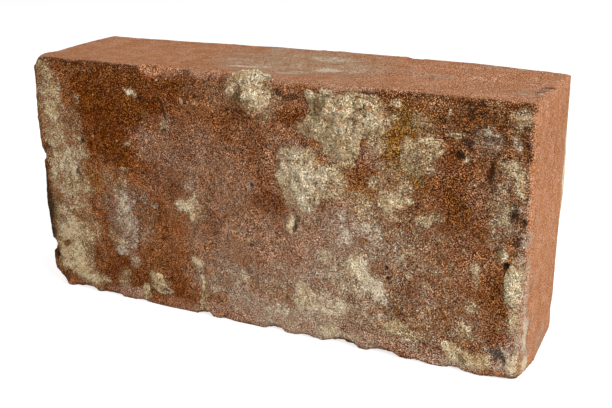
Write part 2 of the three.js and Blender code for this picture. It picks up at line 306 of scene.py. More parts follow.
BED = SideMarks(
    deep=marks(
        # the darkest, most saturated orange-brown, mostly at the upper left
        (-79, 44, 10, 18, 0.15), (65, 98, 8, 12, 0.15), (-78, 8, 22, 7, 0.5), (-76, 43, 8, 16, 0.2),
        (-30, 85, 17, 16, 0.14), (-85, 105, 20, 14, 0.15), (67, 104, 6, 10, 0.3), (-88, 30, 4, 8, 0.3),
        (-70, 30, 4, 8, 0.3), (100, 64, 6, 8, 0.2), (69, 115, 5, 4, 0.55), (108, 76, 3, 8, 0.3),
        (-66, 48, 4, 8, 0.45), (-86, 54, 4, 7, 0.3), (-40, 84, 10, 8, 0.4), (-95.5, 20, 3, 7, 0.5),
        (-12, 94, 8, 7, 0.35), (-44, 95, 8, 6, 0.3), (-68, 57, 3, 5, 0.4), (-70, 36, 3, 6, 0.3),
        (100, 97, 4, 6, 0.3), (-75, 119, 45, 5, 0.4), (-30, 116, 22, 5, 0.35), (8, 30, 6, 4, 0.4),
        (-24, 52, 5, 12, 0.35), (-92, 106, 11, 12, 0.9), (-80, 92, 12, 14, 0.85), (-76, 78, 9, 9, 0.9),
        (-88, 84, 8, 10, 0.7), (-98, 104, 5, 16, 0.6), (-98, 88, 4, 8, 0.35), (-70, 104, 9, 12, 0.75),
        (-56, 105, 8, 6, 0.9), (-45, 114, 9, 6, 0.8), (-62, 116, 12, 6, 0.55), (-80, 117, 12, 5, 0.45),
        (-20, 118.5, 8, 4, 0.8), (-30, 112, 6, 4, 0.4), (-10, 105, 9, 5, 0.65), (-66, 96, 6, 5, 0.7),
        (-63, 72, 5, 4, 0.5), (-92, 76, 5, 6, 0.6), (-46, 66, 5, 6, 0.55), (-65, 57, 4, 5, 0.5),
        (-57, 52, 7, 8, 0.4), (-93, 50, 3, 6, 0.5), (-88, 43, 3, 5, 0.65), (-28, 56, 5, 4, 0.4),
        (-22, 53, 4, 3, 0.35),
        # along the foot, left of the middle
        (-96, 24, 5, 4, 0.7), (-80, 20, 10, 5, 0.6), (-88, 14, 8, 5, 0.6), (-70, 16, 5, 6, 0.4),
        (-72, 23, 8, 3, 0.5), (-47, 15, 7, 8, 0.5), (-42, 8, 6, 5, 0.3), (-55, 24, 10, 5, 0.35),
        (-80, 4.5, 16, 3, 0.5),
        # between the crusts and right of them
        (0, 91, 7, 10, 0.55), (5, 66, 10, 6, 0.65), (12, 60, 4, 8, 0.5), (4, 76, 6, 3, 0.4),
        (16, 106, 9, 4, 0.7), (5, 103, 6, 4, 0.5), (51, 93, 3, 5, 0.5), (93, 82, 9, 15, 0.6),
        (96, 72, 8, 10, 0.55), (90, 95, 8, 5, 0.4), (79, 84, 5, 5, 0.5), (104, 66, 4, 5, 0.5),
        (112, 38, 6, 12, 0.6), (117, 20, 8, 5, 0.55), (118, 33, 4, 8, 0.4), (72, 28, 5, 9, 0.45),
        (74, 40, 5, 3, 0.4), (72, 23, 4, 4, 0.35), (46, 27, 5, 4, 0.4), (30, 30, 10, 3, 0.4),
        (88, 16, 10, 5, 0.35), (80, 12, 6, 8, 0.3), (97, 117, 9, 6, 0.65), (105, 114, 8, 5, 0.5),
        (86, 113, 4, 4, 0.5), (62, 116, 5, 4, 0.4),
        # broad warm ground, and small spots in it
        (-84, 96, 20, 24, 0.4), (-62, 104, 18, 14, 0.5), (-52, 70, 9, 11, 0.4), (86, 78, 18, 20, 0.45),
        (95, 45, 30, 40, 0.2), (72, 28, 9, 13, 0.4), (-98, 22, 4, 5, 0.5), (73, 61, 4, 4, 0.4),
        (-81, 43, 2.5, 4, 0.5), (98, 108, 28, 8, 0.4), (112, 88, 8, 22, 0.3), (122, 106, 3, 10, 0.5),
        (105, 92, 10, 12, 0.3),
    ),
    rose=marks(
        (0, 10, 17, 9, 0.7), (38, 12, 28, 9, 0.25), (80, 33, 6, 8, 0.2),
        # paler, pinker ground along the foot and right of the middle
        (-45, 4, 12, 4, 0.2), (-20, 5, 14, 5, 0.6), (5, 6, 12, 7, 0.8), (22, 5, 18, 6, 0.95),
        (28, 12, 10, 5, 0.4), (52, 5, 10, 5, 0.8), (60, 8, 8, 4, 0.4), (75, 5, 10, 4, 0.4),
        (92, 3, 16, 4, 0.8), (118, 12, 6, 8, 0.6), (-76, 4, 12, 4, 0.7), (42, 58, 8, 14, 0.5),
        (18, 42, 24, 16, 0.5), (20, 32.5, 5, 3, 0.5), (-71, 24, 3.5, 4, 0.5), (55, 93, 5, 5, 0.45),
        # the rolled zone under the arris
        (40, 124, 20, 3.4, 0.85), (-28, 122, 13, 2.6, 0.6), (16, 123, 10, 2.6, 0.6), (123, 30, 4, 22, 0.6),
    ),
    mauve=marks(
        # greyish pink-brown veils
        (93, 73, 12, 16, 0.35), (9, 99, 13, 5, 0.3), (3, 59, 8, 9, 0.45), (-33, 48, 6, 6, 0.4),
        (-25, 22, 8, 7, 0.35), (122, 65, 4, 18, 0.5), (-75, 90, 14, 6, 0.3), (2, 70, 15, 40, 0.35),
        (-55, 84, 12, 9, 0.75), (-35, 92, 14, 10, 0.4), (-38, 75, 16, 8, 0.6), (-20, 85, 14, 10, 0.45),
        (-12, 72, 12, 8, 0.35), (-50, 97, 6, 5, 0.4), (-55, 66, 6, 6, 0.4), (-83, 57, 6, 6, 0.5),
        (-83, 46, 4, 10, 0.4), (-74, 35, 6, 8, 0.5), (-15, 40, 13, 12, 0.75), (-15, 42, 12, 12, 0.7),
        (-15, 58, 14, 8, 0.55), (-35, 42, 6, 10, 0.4), (-25, 22, 14, 8, 0.6), (-5, 25, 12, 10, 0.6),
        (-10, 10, 14, 8, 0.6), (-38, 25, 7, 6, 0.35), (22, 60, 14, 7, 0.7), (35, 58, 9, 8, 0.5),
        (20, 95, 8, 3, 0.5), (8, 93, 5, 5, 0.35), (36, 92, 4, 3, 0.5), (10, 50, 12, 8, 0.4),
        (5, 8, 10, 6, 0.5), (25, 12, 14, 6, 0.5), (62, 24, 7, 6, 0.4), (88, 45, 14, 10, 0.15),
        (80, 60, 8, 6, 0.2), (88, 92, 10, 3, 0.4), (105, 103, 8, 6, 0.6), (104, 85, 6, 8, 0.35),
        (100, 60, 4, 10, 0.3), (78, 8, 10, 5, 0.4), (104, 20, 4, 6, 0.3), (60, 45, 5, 4, 0.3),
    ),
    ochre=marks(
        # yellow-brown stains
        (65, 98, 5, 6, 0.9), (70, 110, 6, 9, 0.75), (62, 104, 4, 3, 0.6), (73, 106, 4, 5, 0.5),
        (72, 89, 9, 6, 0.7), (80, 112, 6, 6, 0.25), (78, 84, 4, 3, 0.3), (45, 40, 6, 7, 0.5),
        (60, 13, 14, 6, 0.4), (52, 75, 10, 8, 0.3), (-92, 62, 6, 6, 0.4), (-108, 25, 12, 20, 0.2),
    ),
    fresh=marks(
        (60, 6, 18, 4, 0.25), (-46, 3, 16, 2.4, 0.3), (20, 2.5, 20, 2, 0.3),
        # light orange clay where the arris has crumbled
        (-49, 121.5, 9, 2.5, 0.9), (40, 123.4, 20, 3, 0.9), (-28, 123.2, 13, 2.4, 0.8),
        (16, 123.6, 11, 2.8, 0.7), (115, 5, 3.6, 2.6, 0.9), (124, 111, 2, 7), (124.4, 97, 1.2, 3, 0.8),
        (124, 80, 1.4, 3, 0.6), (124.2, 28, 2.6, 20, 0.9), (123.6, 12, 2.6, 10, 0.8),
        (115.2, 3.8, 2.8, 2, 0.7),
    ),
    cream=marks(
        # broad veils, and bright spots under the upper arris
        (-120, 36, 4.5, 18, 0.6), (44, 119.4, 14, 1.2, 0.9), (-38.5, 108.2, 1.2, 1, 0.9),
        (-31.5, 107.6, 1.2, 0.8, 0.8), (-117, 98, 8, 26, 0.34), (-110, 66, 13, 18, 0.32),
        (-108, 30, 15, 20, 0.36), (88, 62, 44, 46, 0.06), (40, 20, 50, 16, 0.12),
        # patches of the band beside the left arris, and a few specks elsewhere
        (-76, 52, 3, 3, 0.4), (-79, 60, 3, 3, 0.35), (-75, 42, 2, 3, 0.35), (-79, 32, 3, 2, 0.6),
        (-59, 16, 3, 2.4, 0.3), (-106, 58, 4, 3, 0.4), (-110, 37, 3, 2, 0.4), (-118, 44, 2, 2.4, 0.4),
        (-104, 66, 4, 3, 0.3), (-112, 92, 3, 5, 0.3), (-117, 98, 2.4, 4, 0.35), (75, 92, 5, 5, 0.3),
        (5, 123, 5, 2, 0.8), (-35, 3.5, 5, 2, 0.35), Stroke(((-69.5, 112), (-65.5, 109.2)), 0.7, 0.8),
        (-100, 30, 4, 4, 0.35), (-99, 15, 3, 6, 0.4), (-97, 5, 5, 3, 0.4), (-65, 3, 3, 3, 0.4),
        (-114, 88, 8, 13, 0.3), (-114, 100, 6, 10, 0.5), (-117, 116, 5, 6, 0.35), (-112, 108, 5, 5, 0.3),
        (-104, 92, 6, 7, 0.35), (-107, 74, 9, 5, 0.38), (-101, 82, 5, 4, 0.4), (-116, 67, 5, 6, 0.4),
        (-98, 77, 2.4, 4, 0.5), (-112, 73, 5, 4, 0.3), (-118, 60, 3, 5, 0.5), (-100, 60, 6, 4, 0.5),
        (-97, 56, 4, 3, 0.45), (-103, 54, 5, 5, 0.4), (-112, 55, 6, 5, 0.3), (-106, 47, 8, 4, 0.4),
        (-104, 36, 10, 6, 0.2), (-95, 36, 4, 5, 0.25), (-112, 30, 8, 8, 0.35), (-115, 19, 5, 9, 0.7),
        (-106, 18, 5, 13, 0.65), (-112, 13, 8, 5, 0.45), (-97, 8, 9, 2.5, 0.75), (-90, 9, 3, 2, 0.5),
        # clear small patches of the right half
        (118.5, 116, 4, 4.6, 0.7), (81, 102.5, 5, 2.4, 0.8), (84.5, 99.5, 2, 2, 0.9),
        (73.4, 98.4, 2.2, 1.8, 0.95), (78, 96, 4.5, 3.5, 0.6), (93.5, 107, 3, 1, 0.9),
        (68, 74.5, 5, 4, 0.8), (64, 73, 3, 4, 0.5), (79, 68, 4, 3, 0.7), (113, 97.3, 4.5, 2.2, 0.8),
        (117.5, 94.5, 4, 4, 0.6), (114.5, 76, 3, 4, 0.6), (113, 86, 2, 5, 0.4), (121, 88, 1.6, 6, 0.7),
        (74.2, 53.3, 2.2, 1.4, 0.85), (73, 50.2, 2.6, 1, 0.6), (73.2, 40.6, 2.2, 1.5, 0.8),
        (82.5, 38.3, 2.4, 1.4, 0.6), (92.6, 44, 1, 1, 0.8), (102.6, 49, 2, 2.4, 0.9),
        (104, 34, 1.5, 1.4, 0.6), (100.8, 31, 2, 1, 0.6), (84, 27.6, 1, 1, 0.6), (101.5, 21.5, 3, 2, 0.5),
        (98.3, 15.5, 1.2, 2, 0.6), (119.6, 42, 4, 6, 0.9), (120.3, 32, 1.8, 5, 0.7), (119.5, 26, 2, 3, 0.5),
        (94.5, 9, 3.6, 4, 0.85), (103, 6.6, 6, 2, 0.7), (67, 15, 4, 3.4, 0.6), (70, 17, 3, 2, 0.5),
        (95, 17, 2, 1.2, 0.5), (106, 18.5, 3, 1.2, 0.4),
        # round the patch at the lower left
        (-77, 15, 3, 3, 0.35), (-80, 8, 3, 2.5, 0.5), (-66, 7, 3, 4), (-80, 12, 4, 3, 0.4),
        (-57, 13, 6.5, 5.5, 0.65),
        # small patches of the left half
        (-70.5, 84.5, 2.2, 2, 0.6), (-75, 70, 2.4, 1.6, 0.6), (-84, 66, 5, 5, 0.2), (-75, 64, 3, 4, 0.4),
        (-49, 96, 2, 3.5, 0.5), (-40, 57, 5, 3, 0.8), (-35, 59, 3, 3, 0.7), (-36, 52, 2, 3.5, 0.7),
        (-35, 29, 3, 3, 0.75), (-31, 12, 3, 3, 0.45), (-24, 17, 3, 2.5, 0.5), (-32, 6, 1.6, 3, 0.5),
        (-8, 26, 2.4, 2, 0.45),
        # under and round the lump and the crusts, and a few at the left
        (3, 115, 8, 7, 0.35), (-11, 116, 4, 5, 0.45), (-116, 45, 4, 5, 0.55), (-100, 103, 2.5, 3, 0.3),
        (-98, 88, 2.5, 3, 0.25), (-85, 35, 3, 4, 0.3), (-32, 55, 2, 5, 0.4), (5, 106, 4, 4, 0.35),
        (30, 103, 8, 5, 0.8), (38, 95, 7, 5, 0.75), (45, 91, 4, 4, 0.75), (44, 97, 5, 4, 0.7),
        (58, 108, 5, 8, 0.7), (57, 116, 5, 4, 0.6), (64, 110, 4, 4, 0.4), (66.5, 118, 3, 2, 0.9),
        (58, 98, 6, 4, 0.45), (22, 90, 9, 5, 0.5), (25, 84, 6, 8, 0.7), (16, 79, 6, 5, 0.7),
        (25, 75, 10, 8, 0.8), (24, 67, 5, 4, 0.75), (37, 83, 6, 5, 0.7), (40, 78, 5, 6, 0.55),
        (34, 76, 6, 5, 0.55), (15, 88, 4, 4, 0.35),
        # right of the crusts
        (52, 72, 10, 6, 0.25), (58, 82, 4, 3.5, 0.5), (66, 76, 6, 4.5, 0.8), (64, 70, 3, 4, 0.6),
        (72, 76, 4, 3, 0.6), (70, 90, 7, 5, 0.2), (73, 99, 4, 4, 0.8), (78, 96, 6, 4, 0.7),
        (82, 103, 6, 3, 0.8), (82, 93, 3, 3, 0.5), (76, 112, 4, 4, 0.4), (80, 108, 5, 4, 0.3),
        (94, 107, 4, 1.8, 0.6), (90.3, 115.4, 1.1, 1.6), (84, 70, 4, 3, 0.4),
        # the right border
        (117, 96, 4, 6, 0.3), (120, 88, 3, 6, 0.5), (112, 76, 6, 8, 0.2), (111, 64, 4, 4, 0.15),
        (114, 58, 3, 4.5, 0.6), (104, 44, 1.6, 3, 0.4), (121, 53, 3, 6, 0.5), (121, 28, 2.6, 7, 0.5),
        (116, 27, 4, 4, 0.25), (122, 8, 3, 7, 0.7),
        # the pale slanting smear and what surrounds it
        (50, 44, 5, 5, 0.85), (48, 39, 4, 4, 0.35), (42, 32, 7, 5, 0.15), (38, 40, 8, 6, 0.15),
        (52, 38, 3.4, 4.5, 0.9, 30), (57, 33, 2.6, 5, 0.3, 34), (58, 34, 4.5, 6, 0.3, 30),
        (34, 44, 4, 3, 0.45), (11, 35, 3, 3, 0.4),
        # along the foot, and single spots elsewhere
        (75, 13, 6, 4, 0.4), (26, 19, 5, 3, 0.35), (-72, 22, 4, 3, 0.4), (49, 30, 3, 5, 0.4),
        (99, 21, 4, 4, 0.35), (94, 4.5, 6, 2, 0.4), (70, 81, 5, 4, 0.35), (18, 75, 4, 4, 0.3),
        (23, 24, 4, 5, 0.5), (34, 19, 8, 6, 0.32), (75, 98, 4, 4, 0.5), (62, 86, 5, 6, 0.3),
        (18, 72, 4, 7, 0.5), (30, 26, 8, 4, 0.12), (42, 19, 4, 5, 0.4), (50, 18, 6, 4, 0.12),
        (36, 6, 6, 4, 0.6), (46, 7, 4, 3, 0.4), (4, 9, 3, 4, 0.35), (67, 15, 3, 6, 0.45),
        Stroke(((93.5, 11), (98, 8.5), (103, 5.5), (108, 7)), 3.2, 0.95), (100, 20, 4, 4, 0.35),
        (17.4, 56.5, 2.2, 5, 1, -8), Stroke(((-30.6, 21), (-30.9, 15), (-32.2, 11), (-32.8, 4)), 0.8, 0.9),
        (14, 79, 4, 10, 0.6), (41, 87, 4, 4, 0.4), (52, 66, 6, 5, 0.3), (20, 20, 3, 8, 0.35),
        (15, 6, 5, 3, 0.4), (48, 5, 3, 2.5, 0.5), (71, 49, 3, 3, 0.3), (102, 32, 3, 3, 0.4),
    ),
    ash=marks(
        # broad thin veils
        (20, 18, 40, 16, 0.22), (54, 48, 36, 26, 0.18), (78, 18, 40, 18, 0.06), (-74, 46, 16, 20, 0.2),
        (-30, 66, 30, 34, 0.1), (-8, 114, 30, 8, 0.12),
        # grey-white lime bloom, left
        (-114, 98, 7, 22, 0.05), (-10, 34, 12, 12, 0.08), (-22, 24, 14, 12, 0.24), (-108, 69, 5, 4, 0.3),
        (-40, 58, 5, 4, 0.4), (-98.8, 83.6, 2, 2, 0.5), (-104, 66, 3.5, 3.5, 0.5), (-105, 75, 6, 4, 0.25),
        (-115, 33, 4, 4, 0.35), (-76, 48, 7, 10, 0.4), (-74, 56, 4, 4, 0.45), (-72, 44, 4, 8, 0.35),
        (-73, 34, 4, 5, 0.45), (-79, 27, 5, 3, 0.6), (-83, 42, 2.5, 3, 0.4), (-64, 36, 2.5, 2, 0.5),
        (-64, 56, 2, 2, 0.5), (-58, 55, 2, 2, 0.45), Stroke(((-67, 110.5), (-64, 108.5)), 0.9, 0.9),
        (-35, 66, 4, 5, 0.3), (-8.4, 26, 1.3, 1.3, 0.6), (-4.6, 31, 1.2, 1.2, 0.5), (-3, 73, 2.4, 2.4, 0.3),
        (-10, 12, 10, 6, 0.2),
        # grey-white lime bloom, mostly right
        (50, 32, 10, 14, 0.2), (88, 24, 20, 14, 0.08), (-112, 46, 8, 16, 0.22), (30, 26, 16, 12, 0.14),
        (61, 55, 3, 6, 0.3), (62, 27, 4, 2.4, 0.5), (60.5, 18.6, 1.4, 1.2, 0.7), (106, 108.4, 5, 1.6, 0.5),
        (117.5, 106, 2.2, 3.6, 0.6), (115, 58.5, 2, 3, 0.4), (110, 14.5, 1.5, 2, 0.5),
        (119, 12.5, 2, 4, 0.7), (116, 7, 3, 1.2, 0.5), (53.5, 42, 3, 4, 0.45, 20),
        (58.5, 34, 3, 6, 0.6, 25), (54, 38, 6, 6, 0.3, -40), (115, 10, 8, 6, 0.25), (60, 58, 3, 3, 0.3),
        (50, 55, 4, 4, 0.2), (4, 4, 8, 3, 0.25), (54, 2.5, 8, 3, 0.25), (52, 40, 3, 4, 0.35, 30),
        (60, 28, 3.5, 2.2, 0.5), (36, 42, 8, 9, 0.2), (57, 50, 4, 7, 0.3), (32, 3, 7, 3, 0.35),
        (123.6, 65, 1.6, 26, 0.3), (115, 12, 4.6, 2.8, 0.55), (112, 70, 5, 10, 0.1), (118, 85, 5, 16, 0.1),
        (106, 105, 5, 5, 0.25), (57.5, 32, 3.2, 6, 0.9, 34), (43, 64, 2.2, 3, 0.6), (66, 50, 5, 5, 0.3),
        (43, 64, 2.6, 4, 0.85), (44, 55, 3, 4, 0.85), (40, 52, 3, 3, 0.3), (57, 58, 6, 5, 0.75),
        (52, 60, 4, 3, 0.4), (62, 62, 6, 3, 0.15), (56.5, 34, 2.8, 7, 0.85, 34), (60.5, 27.5, 3.4, 2, 0.6),
        (24, 62, 5, 4, 0.25), (32, 20, 7, 6, 0.35), (26, 14, 6, 4, 0.3), (12, 11.5, 4, 3.4, 0.5),
        (60, 18, 2, 2, 0.5), (73, 10.4, 2.8, 1.2, 0.95), (76, 7, 2, 2, 0.5), (119, 117, 4.4, 3.6, 0.25),
        (117.5, 107, 2.4, 3, 0.5), (107, 106, 6, 5, 0.3), (104, 111, 6, 1, 0.4, 8),
        (107, 108.5, 4.5, 1, 0.5), (101.3, 85.8, 1, 1.3, 0.9), (96.6, 97.4, 1.1, 1.1, 0.85),
        (114, 82, 7, 14, 0.14), (124, 80, 1.6, 3, 0.7), (123.5, 96, 1.4, 2, 0.7),
        (122.5, 64, 1.6, 2.2, 0.8), (113, 11, 2, 2, 0.5), (109.6, 62, 1.8, 1.2, 0.9),
        (113.6, 58, 1.2, 2.4, 0.9), (116.5, 15, 1.6, 1.2, 0.7), (118, 13, 2, 1.5, 0.5),
        (54, 31, 2, 4, 0.6, 36), Stroke(((125, 46), (124.4, 30), (123.2, 18), (121.5, 8)), 1.2, 0.45),
    ),
    scoured=marks(
        # bare clay that shows through the film
        (67, 103, 5, 9, 0.3), (-84, 40, 2, 5, 0.5), (-80, 55, 2, 3, 0.4), (-73, 36, 1.6, 4, 0.4),
        (-77, 45, 1.2, 2, 0.5), (-93, 13, 3, 3, 0.5), (-96, 36, 2, 3, 0.5), (-94, 50, 2, 4, 0.4),
        (-114, 47, 4, 3, 0.55), (-108, 43, 3, 2.4, 0.5), (-116, 38, 3, 3, 0.5), (-104, 40, 2, 3, 0.4),
        (-110, 53, 3, 1.6, 0.4), (-119.5, 52, 2, 4, 0.5), (-113, 33, 2, 2, 0.4), (-101, 45, 3, 2.4, 0.5),
        (-109, 98, 3, 4, 0.5), (-105, 88, 2, 4, 0.4), (-116, 104, 3, 2, 0.4), (-119, 88, 2, 3, 0.3),
        (86, 35, 5, 5, 0.4), (90, 25, 4, 4, 0.3), (76, 33, 3, 8, 0.5), (113, 33, 4, 11, 0.8),
        (110, 45, 2.5, 8, 0.6), (106, 57, 4, 4, 0.4), (93, 82, 7, 9, 0.5), (-95.5, 20, 2.5, 7, 0.8),
        (-116, 60, 4, 4, 0.35), (-66, 48, 4, 8, 0.5), (116, 85, 4, 5, 0.5), (108, 75, 3, 7, 0.5),
        (-118, 112, 4, 5, 0.2), (-95, 25, 3, 5, 0.5), (-123, 35, 4, 9, 0.6), (31, 28, 6, 4, 0.6),
        (73, 25, 5, 5, 0.6), (120.5, 21, 3, 5, 0.7), (55, 17, 4, 4, 0.4), (110, 62, 3, 3, 0.5),
        (69, 63, 4, 4, 0.6), (-107, 93, 5, 5, 0.5), (-114, 76, 4, 3, 0.4), (-80, 67, 6, 4, 0.5),
        (-107, 102, 2, 2, 0.7), (-111, 91, 1.6, 1.6, 0.5), (-115, 25.5, 2.6, 1.8, 0.9),
        (-117, 50, 2, 2.4, 0.7), (-109, 50, 1.8, 3, 0.7),
        Stroke(((-112, 45), (-107, 42), (-101, 40)), 1.4, 0.7), (-102, 66, 1.6, 3, 0.6),
        (-122, 67.5, 2, 3, 0.7), (118, 75, 3, 3, 0.7), (119, 66, 4, 3, 0.7), (59, 42, 4.5, 5, 0.7),
        (52, 54, 4, 3, 0.6), (27, 31, 4, 3, 0.5), (46, 26, 4, 3, 0.5),
    ),
    soot_and_shade=marks(
        # near-black stains, and painted shade: the dark of pits and creases, the shadow lines under ledges
        # at the right border, and the shade strip along the left arris
        (119.5, 44, 4, 8, 0.1), (88, 72, 13, 16, 0.06), (114, 12, 4, 2.8, 0.6), (115, 75, 8, 16, 0.16),
        (119.5, 44, 4, 8, 0.14), (105, 111, 14, 8, 0.1), (-85, 104, 20, 15, 0.06), (-76, 43, 8, 16, 0.08),
        (115, 85, 7, 22, 0.12), (105, 108, 14, 6, 0.07), (-103, 26, 1.4, 1.2, 0.4), (-112, 40, 1.2, 1, 0.4),
        (107, 91.6, 2, 2.2, 0.9), (98.3, 103.6, 1.8, 3, 0.6), (94.6, 98.8, 1.8, 1.4, 0.8),
        (121.8, 74, 1.6, 2, 0.6), (117, 78, 2, 2.4, 0.4), (93, 82, 7, 10, 0.16), (112, 30, 5, 14, 0.14),
        (114, 13.2, 4.5, 2.4, 0.6, -15), (117.5, 9.5, 2, 1.5, 0.5), (94, 115, 26, 4, 0.15),
        (-118, 28, 4, 12, 0.12), (-126, 36, 3, 12, 0.5), (-85, 119, 34, 3.5, 0.16),
        Stroke(((-124.6, 66), (-124.4, 48), (-124, 26)), 2.2, 0.75), (115, 12, 4.2, 2.4, 0.5),
        Stroke(((-102.6, 72), (-102.8, 68), (-101, 64.5), (-99.8, 62)), 0.7, 0.55), (15, 116, 7, 3, 0.15),
        (47, 120.6, 10, 0.9, 0.4), Stroke(((112, 112.3), (121, 112)), 1.0, 0.5),
        Stroke(((108, 99), (120, 98.6)), 1.0, 0.5), (112.5, 11.5, 1.4, 1.4, 0.8),
        (115.6, 13.2, 1.4, 1, 0.8), (117.4, 10.6, 1.2, 1.4, 0.8), (114, 9.4, 1.2, 0.8, 0.7),
        Stroke(((-117, 122), (-90, 122.2), (-62, 121.6), (-57, 120)), 0.9, 0.55),
        Stroke(((52, 121), (66, 121), (90, 121.6), (124, 121.8)), 1.3, 0.55),
        Stroke(((70, 119.5), (96, 119), (123, 119.6)), 0.8, 0.3), (-96.5, 121.6, 3.4, 1.2, 0.6),
        (-107, 121.5, 8, 1, 0.3), (-63, 113, 2, 2.5, 0.4), (-60, 107, 2, 2.5, 0.35),
        (-52, 108, 1.6, 3, 0.4), (-97.5, 82.5, 2, 2, 0.5), (-121, 77, 2.4, 3, 0.7), (-122.5, 68, 2, 3, 0.5),
        Stroke(((-124, 62), (-123.6, 30)), 1.8, 0.55), (-122, 17, 2, 4, 0.8), (-115, 25, 3, 2, 0.35),
        (-118, 7, 6, 3, 0.4), (-78, 62, 1.6, 2.5, 0.35), (-102, 66, 1.4, 3, 0.4), (-109, 50, 1.6, 3, 0.3),
        Stroke(((-44, 121), (-41, 122.4), (-38, 121)), 0.9, 0.5), (18, 115.5, 8, 2, 0.5),
        (24, 113, 3, 2, 0.35), (12, 118, 3, 2, 0.35), (16, 85, 3, 2, 0.4), (20.3, 59, 1.4, 2, 0.5),
        (63.5, 42.5, 1.6, 2.6, 0.4), (98, 103, 2.4, 3.4, 0.35), (93, 98.5, 2.2, 1.8, 0.5),
        (107, 92, 2.4, 4, 0.55), (100, 117, 5, 3, 0.35), (88, 113, 2, 5, 0.4), (122, 109, 3, 6, 0.4),
        (123, 103, 2, 6, 0.45), (117, 75.5, 2.6, 2.6, 0.3), (122, 74, 1.8, 2.6, 0.3),
        (119, 67, 3.6, 2.6, 0.3), (116, 52, 1.6, 4, 0.45), (112, 61, 2.4, 2, 0.6),
        (108.6, 59, 1.5, 1.6, 0.5), (103, 65, 3, 3, 0.35), (72.5, 105, 2.6, 4, 0.3),
        (49, 93.5, 3.5, 3.5, 0.3), Stroke(((40, 99), (40.2, 92)), 0.6, 0.5),
    ),
    olive_and_shade=marks(
        # dark grey-brown dirt between the lime patches at the right
        (-120, 42, 4, 16, 0.45), (98, 113, 30, 9, 0.28), (104, 101, 20, 6, 0.22), (115, 94, 7, 4, 0.35),
        (114, 77, 6, 7, 0.35), (121, 107, 2.4, 7, 0.4), (118, 60, 5, 14, 0.22), (72, 112, 6, 6, 0.3),
        (66, 24, 8, 6, 0.2), (99, 7, 1.6, 2.2, 0.7), (112, 57, 2, 3, 0.6), (-123, 45, 3, 14, 0.5),
        (-121, 76, 4, 5, 0.4), (-122, 12, 3, 8, 0.4), (54, 39, 3, 7, 0.35, 36),
    ),
    smooth=marks(
        # where the clay was pressed smooth
        (57, 37, 4, 8, 0.5, 30), (-108, 20, 14, 22, 0.7), (-116, 70, 13, 62, 0.3), (34, 122, 30, 3, 0.7),
        (-28, 122, 13, 2.4, 0.6), (-12, 37, 9, 9, 0.9), (-40, 45, 8, 7, 0.8), (-84, 95, 16, 22, 0.5),
        (-55, 104, 6, 6, 0.5), (-45, 66, 6, 8, 0.4), (-80, 19, 16, 8, 0.5), (-45, 12, 12, 9, 0.5),
        (105, 104, 7, 5, 0.5), (16, 62, 8, 5, 0.3),
    ),
    drawn=marks(
        # where the strike board dragged
        (98, 112, 38, 13, 0.9), (104, 102, 22, 6, 0.5), (-100, 44, 18, 10, 0.3),
    ),
    creases=(
        Stroke(((-102.5, 71), (-103, 67), (-100, 62.5)), 0.8, 0.5),
        Stroke(((-51, 108), (-49, 103), (-48, 98)), 1.0, 0.8),
        Stroke(((-30.8, 20), (-30.5, 15), (-31.8, 12), (-32.5, 8), (-32, 4)), 0.7, 0.7),
        Stroke(((-76, 69.5), (-72, 66)), 0.6, 0.5),
        Stroke(((2.5, 50), (6, 46), (9, 44)), 0.6, 0.4),
        Stroke(((40, 99), (40.2, 92)), 0.7, 0.6),
        Stroke(((19.6, 60.5), (19, 56), (18.4, 53.5)), 1.0, 1.4),
        Stroke(((111, 94), (111.2, 90)), 0.7, 0.6),
        Stroke(((107.6, 97), (107.2, 88)), 1.0, 0.8),
    ),
    pits=tuple(Pit(*row) for row in (
        (-98, 82.5, 1.3, 1.2, 0.2), (-48.5, 93.5, 1.2, 0.9), (-37, 107.5, 0.9, 0.8), (-58.5, 96, 1.1, 0.8),
        (-35, 103, 1, 0.7), (-54, 37.5, 1.1, 0.8), (-3, 72.5, 1.1, 0.9, 0.25), (-75, 53, 1.2, 0.8),
        (-4.5, 42.6, 1.2, 1.0), (-58, 55.5, 0.9, 0.6, 0.3), (63.2, 43.4, 1.3, 1.6), (64.0, 38.6, 1.0, 1.3),
        (62.0, 41.2, 0.8, 1.0), (93.6, 98.5, 2.0, 1.4), (40.2, 40.6, 1.0, 1.0), (117.6, 76, 2.2, 1.2),
        (122, 73.5, 1.6, 1.2), (-121.8, 17.5, 1.8, 1.8), (116, 54, 1.8, 1.5), (119, 64, 2.2, 0.9),
        (-62, 107, 1.4, 0.7), (-7.5, 83, 1.0, 0.8), (10.8, 43.8, 0.9, 0.8),
    )),
)

